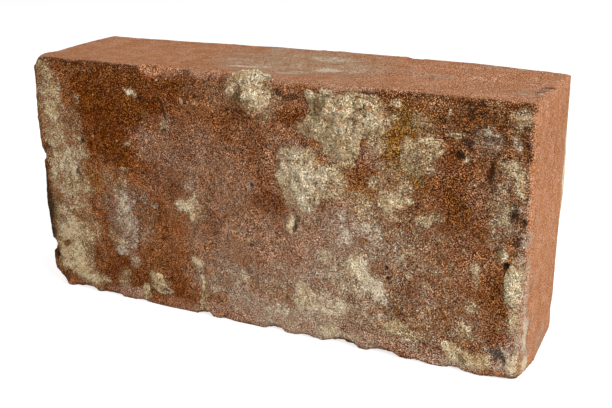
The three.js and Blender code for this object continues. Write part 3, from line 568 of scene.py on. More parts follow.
# The upper narrow side, read from the middle of the brick and in from the front arris.
TOP = SideMarks(
    rose=marks(
        (36, 2, 26, 4, 0.4), (-28, 2, 14, 3, 0.5),
    ),
    ash=marks(
        (5, 36, 48, 30, 0.26), (-18, 19.5, 7, 1.6, 1, 4), (-13, 22, 9, 1, 0.9, 4), (9, 15, 6, 1.3, 1, 6),
        (-16, 20.5, 8, 1.2, 0.9, 4), (24, 27.5, 5, 1.6, 1, 12), (12, 19, 5, 1.6, 0.5, 6),
        (24, 28, 6, 3, 1, 12), (0, 30, 70, 24, 0.04), (20, 24, 6, 1.6, 0.6, 8), (16, 47, 12, 5, 0.4),
        (-17, 61, 8, 4, 0.4), (-33, 45, 10, 2, 0.3), (-106, 8, 1.8, 1.6, 0.9), (-84, 7, 1.2, 1.2, 0.7),
        (-60, 12, 1.2, 1.2, 0.6), (70, 34, 16, 4, 0.25), (116, 17, 5, 4, 0.4), (118, 30, 4, 3, 0.35),
        (119, 12, 1.4, 1.6, 0.9), (121, 20, 1.4, 1.6, 0.9), (96, 62, 16, 3, 0.35),
    ),
    cream=marks(
        (5, 36, 48, 30, 0.14),
    ),
    deep=marks(
        (-36, 3.5, 10, 1.6, 0.6), (95, 25, 25, 10, 0.15), (-45, 18, 8, 6, 0.35), (-60, 10, 10, 5, 0.3),
        (60, 22, 6, 6, 0.2), (-30, 5, 7, 1.2, 0.55), (-58, 6, 12, 4, 0.35), (-22, 9, 8, 1.4, 0.4),
        (40, 3, 12, 2, 0.3), (90, 3, 26, 2.6, 0.35),
    ),
    soot_and_shade=marks(
        (-41, 30, 2, 0.7, 0.6), (-44, 17, 5, 0.6, 0.5), (-30, 8.5, 4, 0.6, 0.5), (75.5, 6.5, 4, 0.5, 0.6),
        (81, 13, 1.2, 0.9, 0.95), (-5, 28, 2, 0.5, 0.35), (119.5, 24, 1.2, 7, 0.8), (121.5, 13, 1, 4, 0.5),
        (122, 33, 1.8, 5, 0.6), (97, 4, 8, 1.4, 0.2),
    ),
)

# The clean header, read in from the front arris and up from the floor.
RIGHT_END = SideMarks(
    ash=marks(
        # the strip 62 in from the front arris is painted light: the rounded back arris made paler where it
        # turns away
        (3, 68, 3, 4, 0.4), (2, 40, 2.4, 24, 0.5), (4, 22, 3.4, 9, 0.75), (8, 26, 6, 4, 0.4),
        (14, 43, 2.4, 5, 0.45), (10, 72, 2.4, 3, 0.35), (6, 12, 5, 8, 0.5), (9, 99, 1.2, 1.4, 0.5),
        (20, 85, 1.2, 1.2, 0.5), (62, 54, 4, 46, 0.8), (30, 8, 16, 6, 0.3),
    ),
    cream=marks(
        # the strip 62 in from the front arris is painted light, as in the ash above
        (62, 54, 4, 46, 0.9), (5, 6, 6, 5, 0.6),
    ),
    deep=marks(
        (18, 112, 10, 12, 0.12), (40, 70, 5, 26, 0.1), (30, 104, 44, 26, 0.6),
    ),
    soot_and_shade=marks(
        (24, 122, 5, 2, 0.5), (20, 118, 2, 4, 0.2),
    ),
)


class Grit(Enum):
    """Colours of the small stones in the clay, as they would be seen in plain light."""

    CREAM = (0.44, 0.29, 0.14)
    WHITE = (0.50, 0.38, 0.25)
    ROSE = (0.48, 0.28, 0.19)
    ORANGE = (0.50, 0.20, 0.07)


@dataclass(frozen=True)
class Stone:
    """A small stone set in the bed, with its half width, its half height and how far it stands out."""

    along: float
    up: float
    wide: float
    tall: float
    proud: float
    grit: Grit


STONES = tuple(
    Stone(*row)
    for row in (
        (-64.4, 108.4, 1.1, 0.8, 0.5, Grit.CREAM), (-77, 84.5, 1, 0.9, 0.5, Grit.CREAM),
        (-69, 85.5, 0.9, 0.9, 0.5, Grit.CREAM), (-91, 85.5, 0.8, 0.8, 0.4, Grit.CREAM),
        (-89, 106.5, 0.9, 0.8, 0.4, Grit.CREAM), (-57, 91.5, 0.9, 0.8, 0.4, Grit.CREAM),
        (-38.2, 108.4, 1.1, 0.9, 0.5, Grit.CREAM), (-35, 108, 1.1, 0.9, 0.5, Grit.CREAM),
        (-32, 107.5, 0.8, 0.7, 0.4, Grit.CREAM), (-4.7, 105, 1.1, 1, 0.5, Grit.CREAM),
        (-73, 53, 1.3, 1.1, 0.7, Grit.ROSE), (-5.8, 45.2, 1.7, 1.6, 1, Grit.CREAM),
        (9.6, 44.4, 1, 1, 0.5, Grit.CREAM), (102.6, 46.4, 1.2, 1.4, 0.7, Grit.CREAM),
        (97.8, 57.8, 1, 1.1, 0.6, Grit.CREAM), (-52.5, 124.2, 1.1, 0.9, 0.6, Grit.ORANGE),
        (-51.5, 121.5, 1, 0.8, 0.6, Grit.WHITE), (-55, 122.6, 0.9, 0.8, 0.5, Grit.WHITE),
        (-47, 121.5, 0.9, 0.7, 0.5, Grit.WHITE), (115, 3.8, 2.3, 1.5, 0.9, Grit.ORANGE),
        (118, 7.4, 0.9, 0.9, 0.6, Grit.WHITE), (72.6, 96.4, 0.8, 0.8, 0.5, Grit.ORANGE),
        (103, 93.2, 0.9, 1, 0.5, Grit.CREAM), (38.9, 40.9, 0.8, 1.2, 0.5, Grit.WHITE),
    )
)


# ---------------------------------------------------------------------------------------------------------
# Meshes
# ---------------------------------------------------------------------------------------------------------


def placed(name: str, data: bpy.types.ID) -> bpy.types.Object:
    """Return a new object that shows some data, linked into the scene."""
    made = bpy.data.objects.new(name, data)
    bpy.context.scene.collection.objects.link(made)
    return made


def merged_copy(source: bpy.types.Object, name: str) -> bpy.types.Object:
    """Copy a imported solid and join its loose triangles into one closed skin.

    Args:
        source: The solid as it was packed. It is left as it is.
        name: Name of the copy.

    Returns:
        The copy, linked into the scene.
    """
    mesh = bpy.data.meshes.new(name)
    bm = bmesh.new()
    bm.from_mesh(source.data)
    bmesh.ops.remove_doubles(bm, verts=bm.verts, dist=WELD * MM)
    bmesh.ops.recalc_face_normals(bm, faces=bm.faces)
    bm.to_mesh(mesh)
    bm.free()
    return placed(name, mesh)


def remeshed(piece: bpy.types.Object, voxel: float) -> None:
    """Give a closed piece an even skin of small faces, in place.

    Args:
        piece: The piece to change.
        voxel: Width of the faces in millimetres.
    """
    modifier = piece.modifiers.new("even skin", "REMESH")
    modifier.mode = "VOXEL"
    modifier.voxel_size = voxel * MM
    bake_modifiers(piece)


def bake_modifiers(piece: bpy.types.Object) -> None:
    """Apply all modifiers of a piece and drop its former mesh."""
    bpy.context.view_layer.update()
    shown = piece.evaluated_get(bpy.context.evaluated_depsgraph_get())
    former = piece.data
    name = former.name
    piece.data = bpy.data.meshes.new_from_object(shown)
    piece.modifiers.clear()
    bpy.data.meshes.remove(former)
    piece.data.name = name


class Skin:
    """The vertices of a piece in millimetres, to push about and to paint."""

    def __init__(self, piece: bpy.types.Object) -> None:
        """Read the vertices and their normals."""
        self.mesh = piece.data
        self.places = np.zeros(len(self.mesh.vertices) * 3)
        self.mesh.vertices.foreach_get("co", self.places)
        self.places = self.places.reshape(-1, 3) / MM
        self.normals = self._read_normals()

    def _read_normals(self) -> np.ndarray:
        """Return the vertex normals, one row each."""
        normals = np.zeros(len(self.mesh.vertices) * 3)
        self.mesh.vertices.foreach_get("normal", normals)
        return normals.reshape(-1, 3)

    def push(self, amount: np.ndarray, direction: np.ndarray | None = None) -> None:
        """Move each vertex.

        Args:
            amount: How far each vertex moves, in millimetres.
            direction: Unit vectors, one row each; the vertex normals if left out.
        """
        way = self.normals if direction is None else direction
        self.places += way * amount[:, None]
        self.mesh.vertices.foreach_set("co", (self.places * MM).ravel())
        self.mesh.update()
        self.normals = self._read_normals()

    def paint(self, name: str, values: np.ndarray) -> None:
        """Store one number for each vertex under a name that the finish reads."""
        layer = self.mesh.attributes.get(name) or self.mesh.attributes.new(name, "FLOAT", "POINT")
        layer.data.foreach_set("value", np.clip(values, 0.0, 1.0).astype(np.float32))

    def arris(self) -> np.ndarray:
        """Say how much each vertex lies on an arris, from 0 to 1."""
        return 1.0 - ease(ARRIS, FLAT, np.abs(self.normals).max(axis=1))

    def smooth(self) -> None:
        """Shade every face smooth."""
        self.mesh.polygons.foreach_set("use_smooth", [True] * len(self.mesh.polygons))


class Side(Enum):
    """The sides of the brick: the way each looks, the axes its marks are read along, and their shift."""

    BED = ((0, -1, 0), (0, 2), (0, 0))
    BACK = ((0, 1, 0), (0, 2), (0, 0))
    TOP = ((0, 0, 1), (0, 1), (0, HALF_THICKNESS))
    UNDERSIDE = ((0, 0, -1), (0, 1), (0, 0))
    RIGHT = ((1, 0, 0), (1, 2), (HALF_THICKNESS, 0))
    LEFT = ((-1, 0, 0), (1, 2), (0, 0))

    def share(self, normals: np.ndarray) -> np.ndarray:
        """Say how much each vertex belongs to this side, from 0 to 1."""
        way, _, _ = self.value
        return ease(SIDE_BEGINS, SIDE_WHOLE, normals @ np.array(way, dtype=float))

    def chart(self, places: np.ndarray) -> np.ndarray:
        """Return the two coordinates that marks on this side are read along."""
        _, axes, shift = self.value
        return places[:, axes] + np.array(shift, dtype=float)


MARKS = {Side.BED: BED, Side.TOP: TOP, Side.RIGHT: RIGHT_END}


class Stains:
    """The painted numbers of one skin: what the marks of every side put on each of its vertices."""

    def __init__(self, skin: Skin, shares: dict[Side, np.ndarray], ragged: Raggedness) -> None:
        """Read the charts of the marked sides once.

        Args:
            skin: The vertices to paint.
            shares: How much each vertex belongs to each marked side.
            ragged: How far the borders of the marks wander.
        """
        self.skin = skin
        self.shares = shares
        self.charts = {side: ragged.wander(side.chart(skin.places)) for side in shares}
        self.found: dict[str, np.ndarray] = {}

    def of(self, kind: str) -> np.ndarray:
        """Return how strongly one kind of mark covers each vertex."""
        if kind not in self.found:
            total = np.zeros(len(self.skin.places))
            for side, share in self.shares.items():
                laid = getattr(MARKS[side], kind)
                total = np.maximum(total, share * covered(laid, self.charts[side]))
            self.found[kind] = total
        return self.found[kind]

    def paint(self, *kinds: str) -> None:
        """Paint some kinds of mark as they are, each under its own name."""
        for kind in kinds:
            self.skin.paint(kind, self.of(kind))


@dataclass
class ClayBrick:
    """The fired clay body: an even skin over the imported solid, worn and stained as an old brick is.

    Lengths are in millimetres. The skin's faces are a voxel wide. They are halved as far below the bed as
    fine_depth, and where no part of the normal along an axis reaches fine_below.
    """

    node: str = "brick_body"
    name: str = "clay_brick"
    voxel: float = 1.5
    fine_depth: float = 2.5
    fine_below: float = 0.93
    worn_rounds: int = 60
    worn_share: float = 0.5
    foot_bulge: float = 1.5
    foot_tuck: float = 0.7
    film_height: float = 0.22
    arris_loss: float = 0.1
    knock_depth: float = 0.7
    pock_depth: float = 0.5
    stone_share: float = 0.85
    stone_dents: float = 0.4
    ragged: Raggedness = Raggedness()

    def build(self, frame: dict) -> bpy.types.Object:
        """Make the brick.

        Args:
            frame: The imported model.

        Returns:
            The finished brick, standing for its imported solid.
        """
        source = frame["nodes"][self.node]
        piece = merged_copy(source, self.name)
        piece.data.materials.clear()
        guide = merged_copy(source, "clay_guide")
        remeshed(piece, self.voxel)
        self._refine_bed(piece)
        self._hug(piece, guide)
        self._wear_round(piece)
        bpy.data.objects.remove(guide)
        skin = Skin(piece)
        self._paint(skin)
        self._sculpt(skin)
        skin.smooth()
        self._set_stones(piece)
        return piece

    def _refine_bed(self, piece: bpy.types.Object) -> None:
        """Halve the faces of the mortared bed and of all the arrises."""
        bm = bmesh.new()
        bm.from_mesh(piece.data)
        bm.normal_update()
        edge_of_bed = (self.fine_depth - HALF_THICKNESS) * MM
        fine = [
            edge
            for edge in bm.edges
            if all(v.co.y < edge_of_bed or max(map(abs, v.normal)) < self.fine_below for v in edge.verts)
        ]
        bmesh.ops.subdivide_edges(bm, edges=fine, cuts=1, use_grid_fill=True)
        bmesh.ops.triangulate(bm, faces=[face for face in bm.faces if len(face.verts) > 4])
        bm.to_mesh(piece.data)
        bm.free()

    def _hug(self, piece: bpy.types.Object, guide: bpy.types.Object) -> None:
        """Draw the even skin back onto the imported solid."""
        wrap = piece.modifiers.new("hug", "SHRINKWRAP")
        wrap.target = guide
        wrap.wrap_method = "NEAREST_SURFACEPOINT"
        bake_modifiers(piece)

    def _wear_round(self, piece: bpy.types.Object) -> None:
        """Wear the lower back corner of the right end like a pebble, and let the foot of that end swell."""
        skin = Skin(piece)
        ends = np.zeros(len(piece.data.edges) * 2, dtype=int)
        piece.data.edges.foreach_get("vertices", ends)
        first, second = ends.reshape(-1, 2).T
        count = np.bincount(ends, minlength=len(skin.places))[:, None]
        x, y, z = skin.places.T
        share = (self.worn_share * ease(88, 108, x) * ease(-30, 18, y) * ease(70, 44, z))[:, None]
        for _ in range(self.worn_rounds):
            total = np.zeros(skin.places.shape)
            np.add.at(total, first, skin.places[second])
            np.add.at(total, second, skin.places[first])
            skin.places += share * (total / count - skin.places)
        foot = self.foot_bulge * ease(14, 5, z) * ease(-30, -10, y) * ease(32, 14, y)
        foot -= self.foot_tuck * ease(1, 5, z) * ease(18, 9, z) * ease(16, 28, y)
        skin.push(foot * ease(96, 110, x), np.tile((1.0, 0.0, 0.0), (len(foot), 1)))

    def _shares(self, skin: Skin) -> dict[Side, np.ndarray]:
        """Return how much each vertex belongs to each marked side; the bed's dirt wraps its arris."""
        (x, y, z), normals = skin.places.T, skin.normals
        facing = ease(FRONT_BEGINS, FRONT_WHOLE, normals[:, 1]) * ease(-20, -27, y)
        ragged = y + Field.WRAPPED_DIRT.at(skin.places)
        wrapped = ease(-31.0, -31.8, ragged) * ease(118, 121, z)
        chipped = ease(122.9, 124.1, x + Field.CHIPPED_END.at(skin.places))
        bed = np.maximum(facing, wrapped) * (1 - chipped)
        shares = {side: side.share(normals) * (1 - bed) for side in (Side.TOP, Side.RIGHT)}
        return {Side.BED: bed, **shares}

    def _paint(self, skin: Skin) -> None:
        """Spread the stains, films and bare spots over the clay."""
        shares = self._shares(skin)
        stains = Stains(skin, shares, self.ragged)
        rest = 1 - shares[Side.BED]
        ends = np.maximum(Side.RIGHT.share(skin.normals), Side.LEFT.share(skin.normals))
        smooth_sides = np.maximum(Side.TOP.share(skin.normals), ends)
        bare = 1 - stains.of("scoured")
        stains.paint("rose", "ochre", "olive_and_shade")
        skin.paint("cream", stains.of("cream") * bare + rest * self._film(skin))
        skin.paint("ash", stains.of("ash") * (0.2 + 0.8 * bare))
        skin.paint("drawn", np.maximum(0.12 * smooth_sides * rest, stains.of("drawn")))
        skin.paint("upright", ends)
        self._darken(skin, stains, rest)
        self._grain(skin, stains, rest, smooth_sides)

    def _darken(self, skin: Skin, stains: Stains, rest: np.ndarray) -> None:
        """Paint the deep and the mauve clay and the soot, with blotches of them on the hidden sides; the
        soot also carries painted shade in pits and creases and along the left arris.

        Args:
            skin: The vertices to paint.
            stains: What the marks put on them.
            rest: How much each vertex lies off the bed.
        """
        places, back = skin.places, Side.BACK.share(skin.normals)
        blotch = Field.BLOTCHES.at(places)
        cloud = Field.CLOUDS.at(places)
        skin.paint("deep", np.maximum(stains.of("deep"), 0.7 * back * ease(0.0, 0.9, blotch)))
        skin.paint("mauve", np.maximum(stains.of("mauve"), 0.5 * back * ease(0.1, -0.8, blotch)))
        # painted shade: the pits and creases of the bed darkened
        dark = np.maximum(stains.of("soot_and_shade"), (1 - rest) * self._hole_shade(Side.BED.chart(places)))
        # painted shade: the strip of the left end next to the front arris, darker where it turns away from
        # the light
        edge = Side.LEFT.share(skin.normals) * rest * ease(-20, -27, places[:, 1])
        dark = np.maximum(dark, 0.9 * edge * ease(6, 20, places[:, 2]) * ease(98, 74, places[:, 2]))
        skin.paint("soot_and_shade", np.maximum(dark, 0.5 * back * ease(0.4, 1.2, cloud)))

    def _grain(self, skin: Skin, stains: Stains, rest: np.ndarray, smooth_sides: np.ndarray) -> None:
        """Paint how freshly broken the clay looks and how coarse its sand is.

        Args:
            skin: The vertices to paint.
            stains: What the marks put on them.
            rest: How much each vertex lies off the bed.
            smooth_sides: How much each vertex belongs to the top and the ends.
        """
        (x, _, z), facing = skin.places.T, skin.normals[:, 1]
        underside = Side.UNDERSIDE.share(skin.normals)
        crumbs = skin.arris() * ease(0.2, 0.8, Field.CRUMBLED_ARRIS.at(skin.places))
        crumbs *= 0.5 * (0.4 + 0.6 * rest)
        fresh = np.maximum(smooth_sides, 0.55 * underside) * rest
        fresh = np.maximum(fresh, ease(120, 121, x) * ease(FRONT_BEGINS, FRONT_WHOLE, facing) * rest)
        darker = 0.22 * stains.of("deep") * smooth_sides * rest
        skin.paint("fresh", (fresh + crumbs) * (1 - darker) + stains.of("fresh"))
        plain = 0.5 + Side.TOP.share(skin.normals) * (0.16 * ease(-20, -70, x) - 0.3 * ease(0, 90, x))
        coarse = 1.0 - plain * smooth_sides * rest - 0.35 * underside - 0.5 * stains.of("smooth")
        coarse -= 0.4 * np.clip(fresh, 0, 1) * (1 - smooth_sides) + 0.3 * stains.of("fresh") * (1 - rest)
        strong = 0.2 * ease(5, 75, x) + 0.12 * ease(60, 100, z) + 0.2 * ease(50, 90, x)
        skin.paint("coarse", coarse * (0.76 + strong * (1 - rest)))

    def _film(self, skin: Skin) -> np.ndarray:
        """Return the thin lime film on the sides that carry no marks of their own."""
        places = skin.places
        back, left = Side.BACK.share(skin.normals), Side.LEFT.share(skin.normals)
        cloud = Field.HIDDEN_FILM.at(places)
        front_arris = ease(-27, -31, places[:, 1])
        front_arris *= ease(-0.1, 0.7, Field.FRONT_ARRIS_FILM.at(places))
        film = 0.8 * back * ease(0.25, 1.0, cloud) + 0.5 * left * ease(0.3, 1.0, cloud)
        return np.clip(film + 0.35 * front_arris * left, 0, 1)

    def _hole_shade(self, chart: np.ndarray) -> np.ndarray:
        """Return the painted shade of the pits and creases: how dark each place is for lying in one."""
        dark = np.zeros(len(chart))
        for pit in BED.pits:
            depth = min(1.0, 0.45 + 0.35 * pit.deep)
            dark = np.maximum(dark, depth * ease(1.05, 0.5, self._reach(pit, chart)))
        for crease in BED.creases:
            dark = np.maximum(dark, 0.7 * ease(0.1, 1.0, crease.cover(chart[:, 0], chart[:, 1])))
        return dark

    def _reach(self, pit: Pit, chart: np.ndarray) -> np.ndarray:
        """Return the distance from the middle of a pit, in half widths."""
        return np.hypot(chart[:, 0] - pit.along, chart[:, 1] - pit.up) / pit.wide

    def _sculpt(self, skin: Skin) -> None:
        """Work sandy lumps, pits, creases, film and worn arrises into the surface."""
        places = skin.places
        bed = Side.BED.share(skin.normals)
        sandy = np.maximum(bed, Side.BACK.share(skin.normals))
        chart = Side.BED.chart(places)
        moved = self.ragged.wander(chart)
        quiet = 0.75 * covered(BED.smooth, moved)
        film = covered(BED.cream, moved) * (1 - covered(BED.scoured, moved))
        swell = Field.SWELL.at(places)
        relief = swell + Field.LUMPS.at(places) * (1 - quiet)
        relief += Field.SAND.at(places) * (1 - 0.7 * quiet)
        relief += bed * film * (self.film_height + Field.FILM_RELIEF.at(places))
        relief -= bed * self._pit_depth(chart)
        for crease in BED.creases:
            relief -= bed * crease.cover(chart[:, 0], chart[:, 1])
        relief += bed * self._strike_marks(places, chart)
        narrow = 0.12 * swell + self._drag_lines(skin)
        knocks = -self.knock_depth * ease(0.35, 0.9, Field.KNOCKS.at(places))
        foot = Field.FOOT.at(places) * ease(16, 4, places[:, 2])
        crumble = Field.CRUMBLE.at(places) - self.arris_loss + knocks + foot
        skin.push(sandy * relief + (1 - sandy) * narrow + skin.arris() * crumble)

    def _pit_depth(self, chart: np.ndarray) -> np.ndarray:
        """Return how deep each place lies for the pits, with rims as negative depth."""
        depth = np.zeros(len(chart))
        for pit in BED.pits:
            reach = self._reach(pit, chart)
            depth += pit.deep * ease(1.3, 0.3, reach)
            depth -= pit.rim * ease(2.2, 1.5, reach) * ease(0.9, 1.5, reach)
        return depth

    def _strike_marks(self, places: np.ndarray, chart: np.ndarray) -> np.ndarray:
        """Return the low ridges that the strike board left along the upper right of the bed."""
        zone = ease(66, 84, chart[:, 0]) * ease(101, 107, chart[:, 1])
        stretched = places * np.array((0.06, 1.0, 1.0))
        return zone * Field.STRIKE_RIDGES.at(stretched)

    def _drag_lines(self, skin: Skin) -> np.ndarray:
        """Return the fine lines that the mould left along the narrow sides and down the ends."""
        places = skin.places
        ends = np.maximum(Side.RIGHT.share(skin.normals), Side.LEFT.share(skin.normals))
        lengthwise = Field.LENGTHWISE.at(places * np.array((0.05, 1.0, 1.0)))
        downwards = Field.DOWNWARDS.at(places * np.array((1.0, 1.0, 0.06)))
        pocks = -self.pock_depth * ease(0.75, 1.1, Field.POCKS.at(places))
        return np.where(ends > 0.5, downwards, lengthwise) + Field.DRAG_SAND.at(places) + pocks

    def _set_stones(self, piece: bpy.types.Object) -> None:
        """Press the small stones into the bed and join them to the brick."""
        tree = surface_tree(piece)
        bm = bmesh.new()
        bm.from_mesh(piece.data)
        tint = bm.verts.layers.float_vector.new("grit")
        for stone in STONES:
            start = Vector((stone.along, -HALF_THICKNESS - 1.0, stone.up)) * MM
            hit, normal, _, _ = tree.find_nearest(start)
            made = bmesh.ops.create_icosphere(bm, subdivisions=2, radius=1.0)["verts"]
            for vertex in made:
                dent = noise.noise(vertex.co * 1.7 + Vector((stone.along, stone.up, 0)))
                bump = 1.0 + self.stone_dents * dent
                vertex.co *= Vector((stone.wide, stone.wide, stone.tall)) * bump * self.stone_share * MM
                vertex.co += hit - normal * (stone.wide - 0.8 * stone.proud) * self.stone_share * MM
                vertex[tint] = Vector(stone.grit.value)
            for face in {face for vertex in made for face in vertex.link_faces}:
                face.material_index = 1
                face.smooth = True
        bm.to_mesh(piece.data)
        bm.free()


def surface_tree(piece: bpy.types.Object) -> BVHTree:
    """Return a tree for finding points on the surface of a piece."""
    bm = bmesh.new()
    bm.from_mesh(piece.data)
    tree = BVHTree.FromBMesh(bm)
    bm.free()
    return tree


@dataclass(frozen=True)
class MortarMarks:
    """Stains and specks on the mortar, read as on the bed."""

    bare: tuple[Mark, ...] = marks(
        (17, 84.5, 3, 2.4, 0.5), (-2, 104, 12, 4.6, 1), (0, 107.6, 6, 2.4, 0.6), (-7, 111.5, 6, 4.5, 0.75),
        (79, 92, 6, 9, 0.6), (115, 52, 2, 4, 0.5), (122.5, 41, 1.6, 2.4, 0.5),
    )
    olive_and_shade: tuple[Mark, ...] = marks(
        # olive-brown dirt, and painted shade: the hollows of the crusts and the shadow that the lump's core
        # casts to its lower left
        (17, 92.5, 5, 4, 0.35), (35, 84, 4, 4, 0.35), (39, 102, 3, 2, 0.4), (50, 111, 2, 1.2, 0.4),
        (31, 112, 3, 4, 0.5), (47, 96, 3, 2.5, 0.5), Stroke(((33.5, 119), (33, 113)), 1.5, 1.0),
        Stroke(((30.2, 117), (29.6, 110)), 1.5, 0.9), (30, 106, 3.5, 3, 0.45), (38, 107.5, 2.2, 1.4, 0.45),
        (49, 107, 1.6, 1.8, 0.45), (-7.5, 114.5, 2, 4, 0.7), (-2, 112.6, 5, 1.6, 0.6),
        (-5, 119.5, 0.9, 1.1, 0.7), (22, 82, 2, 4, 0.4), (20, 78, 1.4, 6, 0.3), (44, 98, 2.4, 1.6, 0.4),
        (45, 104, 1.6, 1.6, 0.4), (55, 101, 5, 2.4, 0.3),
    )
    rust: tuple[Mark, ...] = marks(
        (42.6, 114.2, 1.3, 1, 0.9), (54, 114, 1.2, 1.1, 0.9), (36, 112, 1.1, 1, 0.8),
        (31.3, 111.2, 1, 1, 0.5), (51, 107.5, 0.8, 1.2, 0.6), (43.5, 106, 0.9, 0.8, 0.5),
        (0, 119, 0.6, 1, 0.8), (-3, 117, 1, 0.8, 0.5), (39, 113.4, 0.7, 0.7, 0.7),
        (38.8, 73, 0.8, 0.7, 0.7), (30.5, 91, 1.4, 1, 0.5), (49, 98, 1.2, 0.7, 0.5),
    )
    black: tuple[Mark, ...] = marks(
        # near-black specks; the long ones at 29.6 and 33.2 along are painted shade in the upper crust's
        # hollows
        (5.9, 118, 0.7, 0.5, 1, 30), (29.6, 112.5, 1, 3, 0.6), (33.2, 118.5, 0.9, 2.2, 0.4),
        (35.3, 114, 0.5, 0.5, 0.6), (40.2, 114.2, 0.6, 0.4, 0.6), (34.5, 106.5, 0.6, 0.5, 0.5),
    )
    pale: tuple[Mark, ...] = marks(
        # whiter lime; along the top ridge of the upper crust, 27 to 48 along and 117 to 122 up, the
        # paleness is a painted highlight
        (27, 74, 5, 6.5, 0.6), (24, 86, 1.4, 3.5, 0.7), (40, 112, 5, 3, 0.5), (44, 104, 4, 3, 0.4),
        (14, 75, 5, 9, 0.5), (28, 80, 8, 9, 0.4), (-1.5, 116.5, 5, 5, 0.5), (30, 120.3, 3.6, 1, 0.9),
        (27.5, 117.5, 1.4, 2, 0.7), (38, 119, 10, 3, 0.9), (2, 123, 8, 4, 0.8), (54, 117, 3.5, 2.5, 0.6),
        (55.5, 109, 4.5, 3.5, 0.5), (48.5, 99.5, 1.8, 3, 0.5), (16, 76.5, 3.5, 4, 0.5),
        (25, 85, 1.8, 2.6, 0.6), (26.5, 91, 1.2, 1, 0.8), (26, 73, 5, 6, 0.35), (46.5, 89, 2.4, 1.6, 0.6),
    )


@dataclass
class MortarRemnant:
    """One crust of lime mortar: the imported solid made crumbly, with a border that thins to nothing.

    Lengths are in millimetres. What lies nearer to the clay than seat and doesn't look outward is sunk into
    it by sink. Below rim the crust goes under the clay by border_sink; from there it rises to its top, late
    and steeply if slope is large. Where it stands out as far as opening, its lime hides the clay.
    """

    node: str
    clods: float = 0.8
    voxel: float = 0.5
    seat: float = 0.6
    outward: float = 0.2
    sink: float = 1.3
    rim: float = 0.4
    border_sink: float = 0.35
    slope: float = 1.7
    opening: float = 0.7
    # How dark the hollows between crumbs are painted: painted shade.
    hollow_shade: float = 1.0
    whiten: float = 0.0
    specks: MortarMarks = MortarMarks()
    ragged: Raggedness = Raggedness()

    def build(self, frame: dict, clay: BVHTree) -> bpy.types.Object:
        """Make the crust.

        Args:
            frame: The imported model.
            clay: Finds points on the packed clay body.

        Returns:
            The finished crust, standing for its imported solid.
        """
        piece = merged_copy(frame["nodes"][self.node], self.node + "_finish")
        piece.data.materials.clear()
        self._bury(piece, clay)
        remeshed(piece, self.voxel)
        skin = Skin(piece)
        height, hollow = self._sculpt(skin, clay)
        self._paint(skin, height, hollow)
        skin.smooth()
        return piece

    def _bury(self, piece: bpy.types.Object, clay: BVHTree) -> None:
        """Press the underside of the crust into the clay so that no gap shows round it."""
        for vertex in piece.data.vertices:
            _, normal, _, gap = clay.find_nearest(vertex.co)
            if gap < self.seat * MM and vertex.normal.dot(normal) < self.outward:
                vertex.co -= normal * self.sink * MM

    def _sculpt(self, skin: Skin, clay: BVHTree) -> tuple[np.ndarray, np.ndarray]:
        """Roughen the crust and thin its border.

        Args:
            skin: The vertices of the crust.
            clay: Finds points on the packed clay body.

        Returns:
            How far each vertex stands out from the clay, in millimetres, and how deep it lies in crumbs.
        """
        height = np.zeros(len(skin.places))
        outwards = np.zeros(skin.places.shape)
        for index, place in enumerate(skin.places * MM):
            spot, normal, _, gap = clay.find_nearest(place)
            side = 1.0 if (Vector(place) - spot).dot(normal) > 0 else -1.0
            height[index] = side * gap / MM
            outwards[index] = normal
        top = height.max()
        share = np.clip((height - self.rim) / (top - self.rim), 0.0, 1.0)
        settled = top * share**self.slope - self.border_sink
        free = ease(-0.1, 0.5, height)
        inner = ease(0.0, 0.45, share)
        clods = 1.6 * self.clods * (0.42 - Crumbs.CLODS.gap(skin.places)) * inner
        crumbs = 0.7 * (0.45 - Crumbs.FINE.gap(skin.places)) * (0.45 + 0.55 * inner)
        grains = Field.MORTAR_GRAINS.at(skin.places)
        holes = -inner * ease(0.45, 0.95, Field.MORTAR_HOLES.at(skin.places))
        border = Field.MORTAR_BORDER.at(skin.places) * ease(0.55, 0.1, share)
        border += Field.FINE_BORDER.at(skin.places) * ease(0.6, 0.15, share)
        skin.push(free * (settled - height + clods + crumbs + grains + holes + border), outwards)
        hollow = ease(0.05, -0.9, clods + crumbs + holes)
        return settled + border + crumbs, hollow

    def _paint(self, skin: Skin, height: np.ndarray, hollow: np.ndarray) -> None:
        """Stain the crust, give it its specks, paint shade into the hollows between its crumbs and let clay
        show through its thin border.

        Args:
            skin: The vertices of the crust.
            height: How far each vertex stands out from the clay, in millimetres.
            hollow: How deep each vertex lies between crumbs, from 0 to 1.
        """
        stains = Stains(skin, {Side.BED: np.ones(len(height))}, self.ragged)
        stains.paint("deep", "mauve", "rose", "ochre")
        chart = stains.charts[Side.BED]
        lime = ease(-self.border_sink, self.opening, height + Field.LIME_EDGE.at(skin.places))
        pale = covered(self.specks.pale, chart)
        film = np.maximum(stains.of("cream") * 0.8, 1.15 * lime) * (1 - covered(self.specks.bare, chart))
        skin.paint("cream", film * (1 - 0.5 * pale))
        skin.paint("ash", film * np.maximum(0.6 * pale, self.whiten) + 0.4 * stains.of("ash"))
        # painted shade: the hollows between crumbs darkened, olive-brown, and near-black in the deepest
        skin.paint("olive_and_shade", np.maximum(covered(self.specks.olive_and_shade, chart), 0.62 * self.hollow_shade * hollow))
        skin.paint("rust", covered(self.specks.rust, chart))
        skin.paint("soot_and_shade", np.maximum(covered(self.specks.black, chart), 0.45 * self.hollow_shade * hollow**2))
        skin.paint("coarse", np.ones(len(height)))


# ---------------------------------------------------------------------------------------------------------
# Finishes
# ---------------------------------------------------------------------------------------------------------


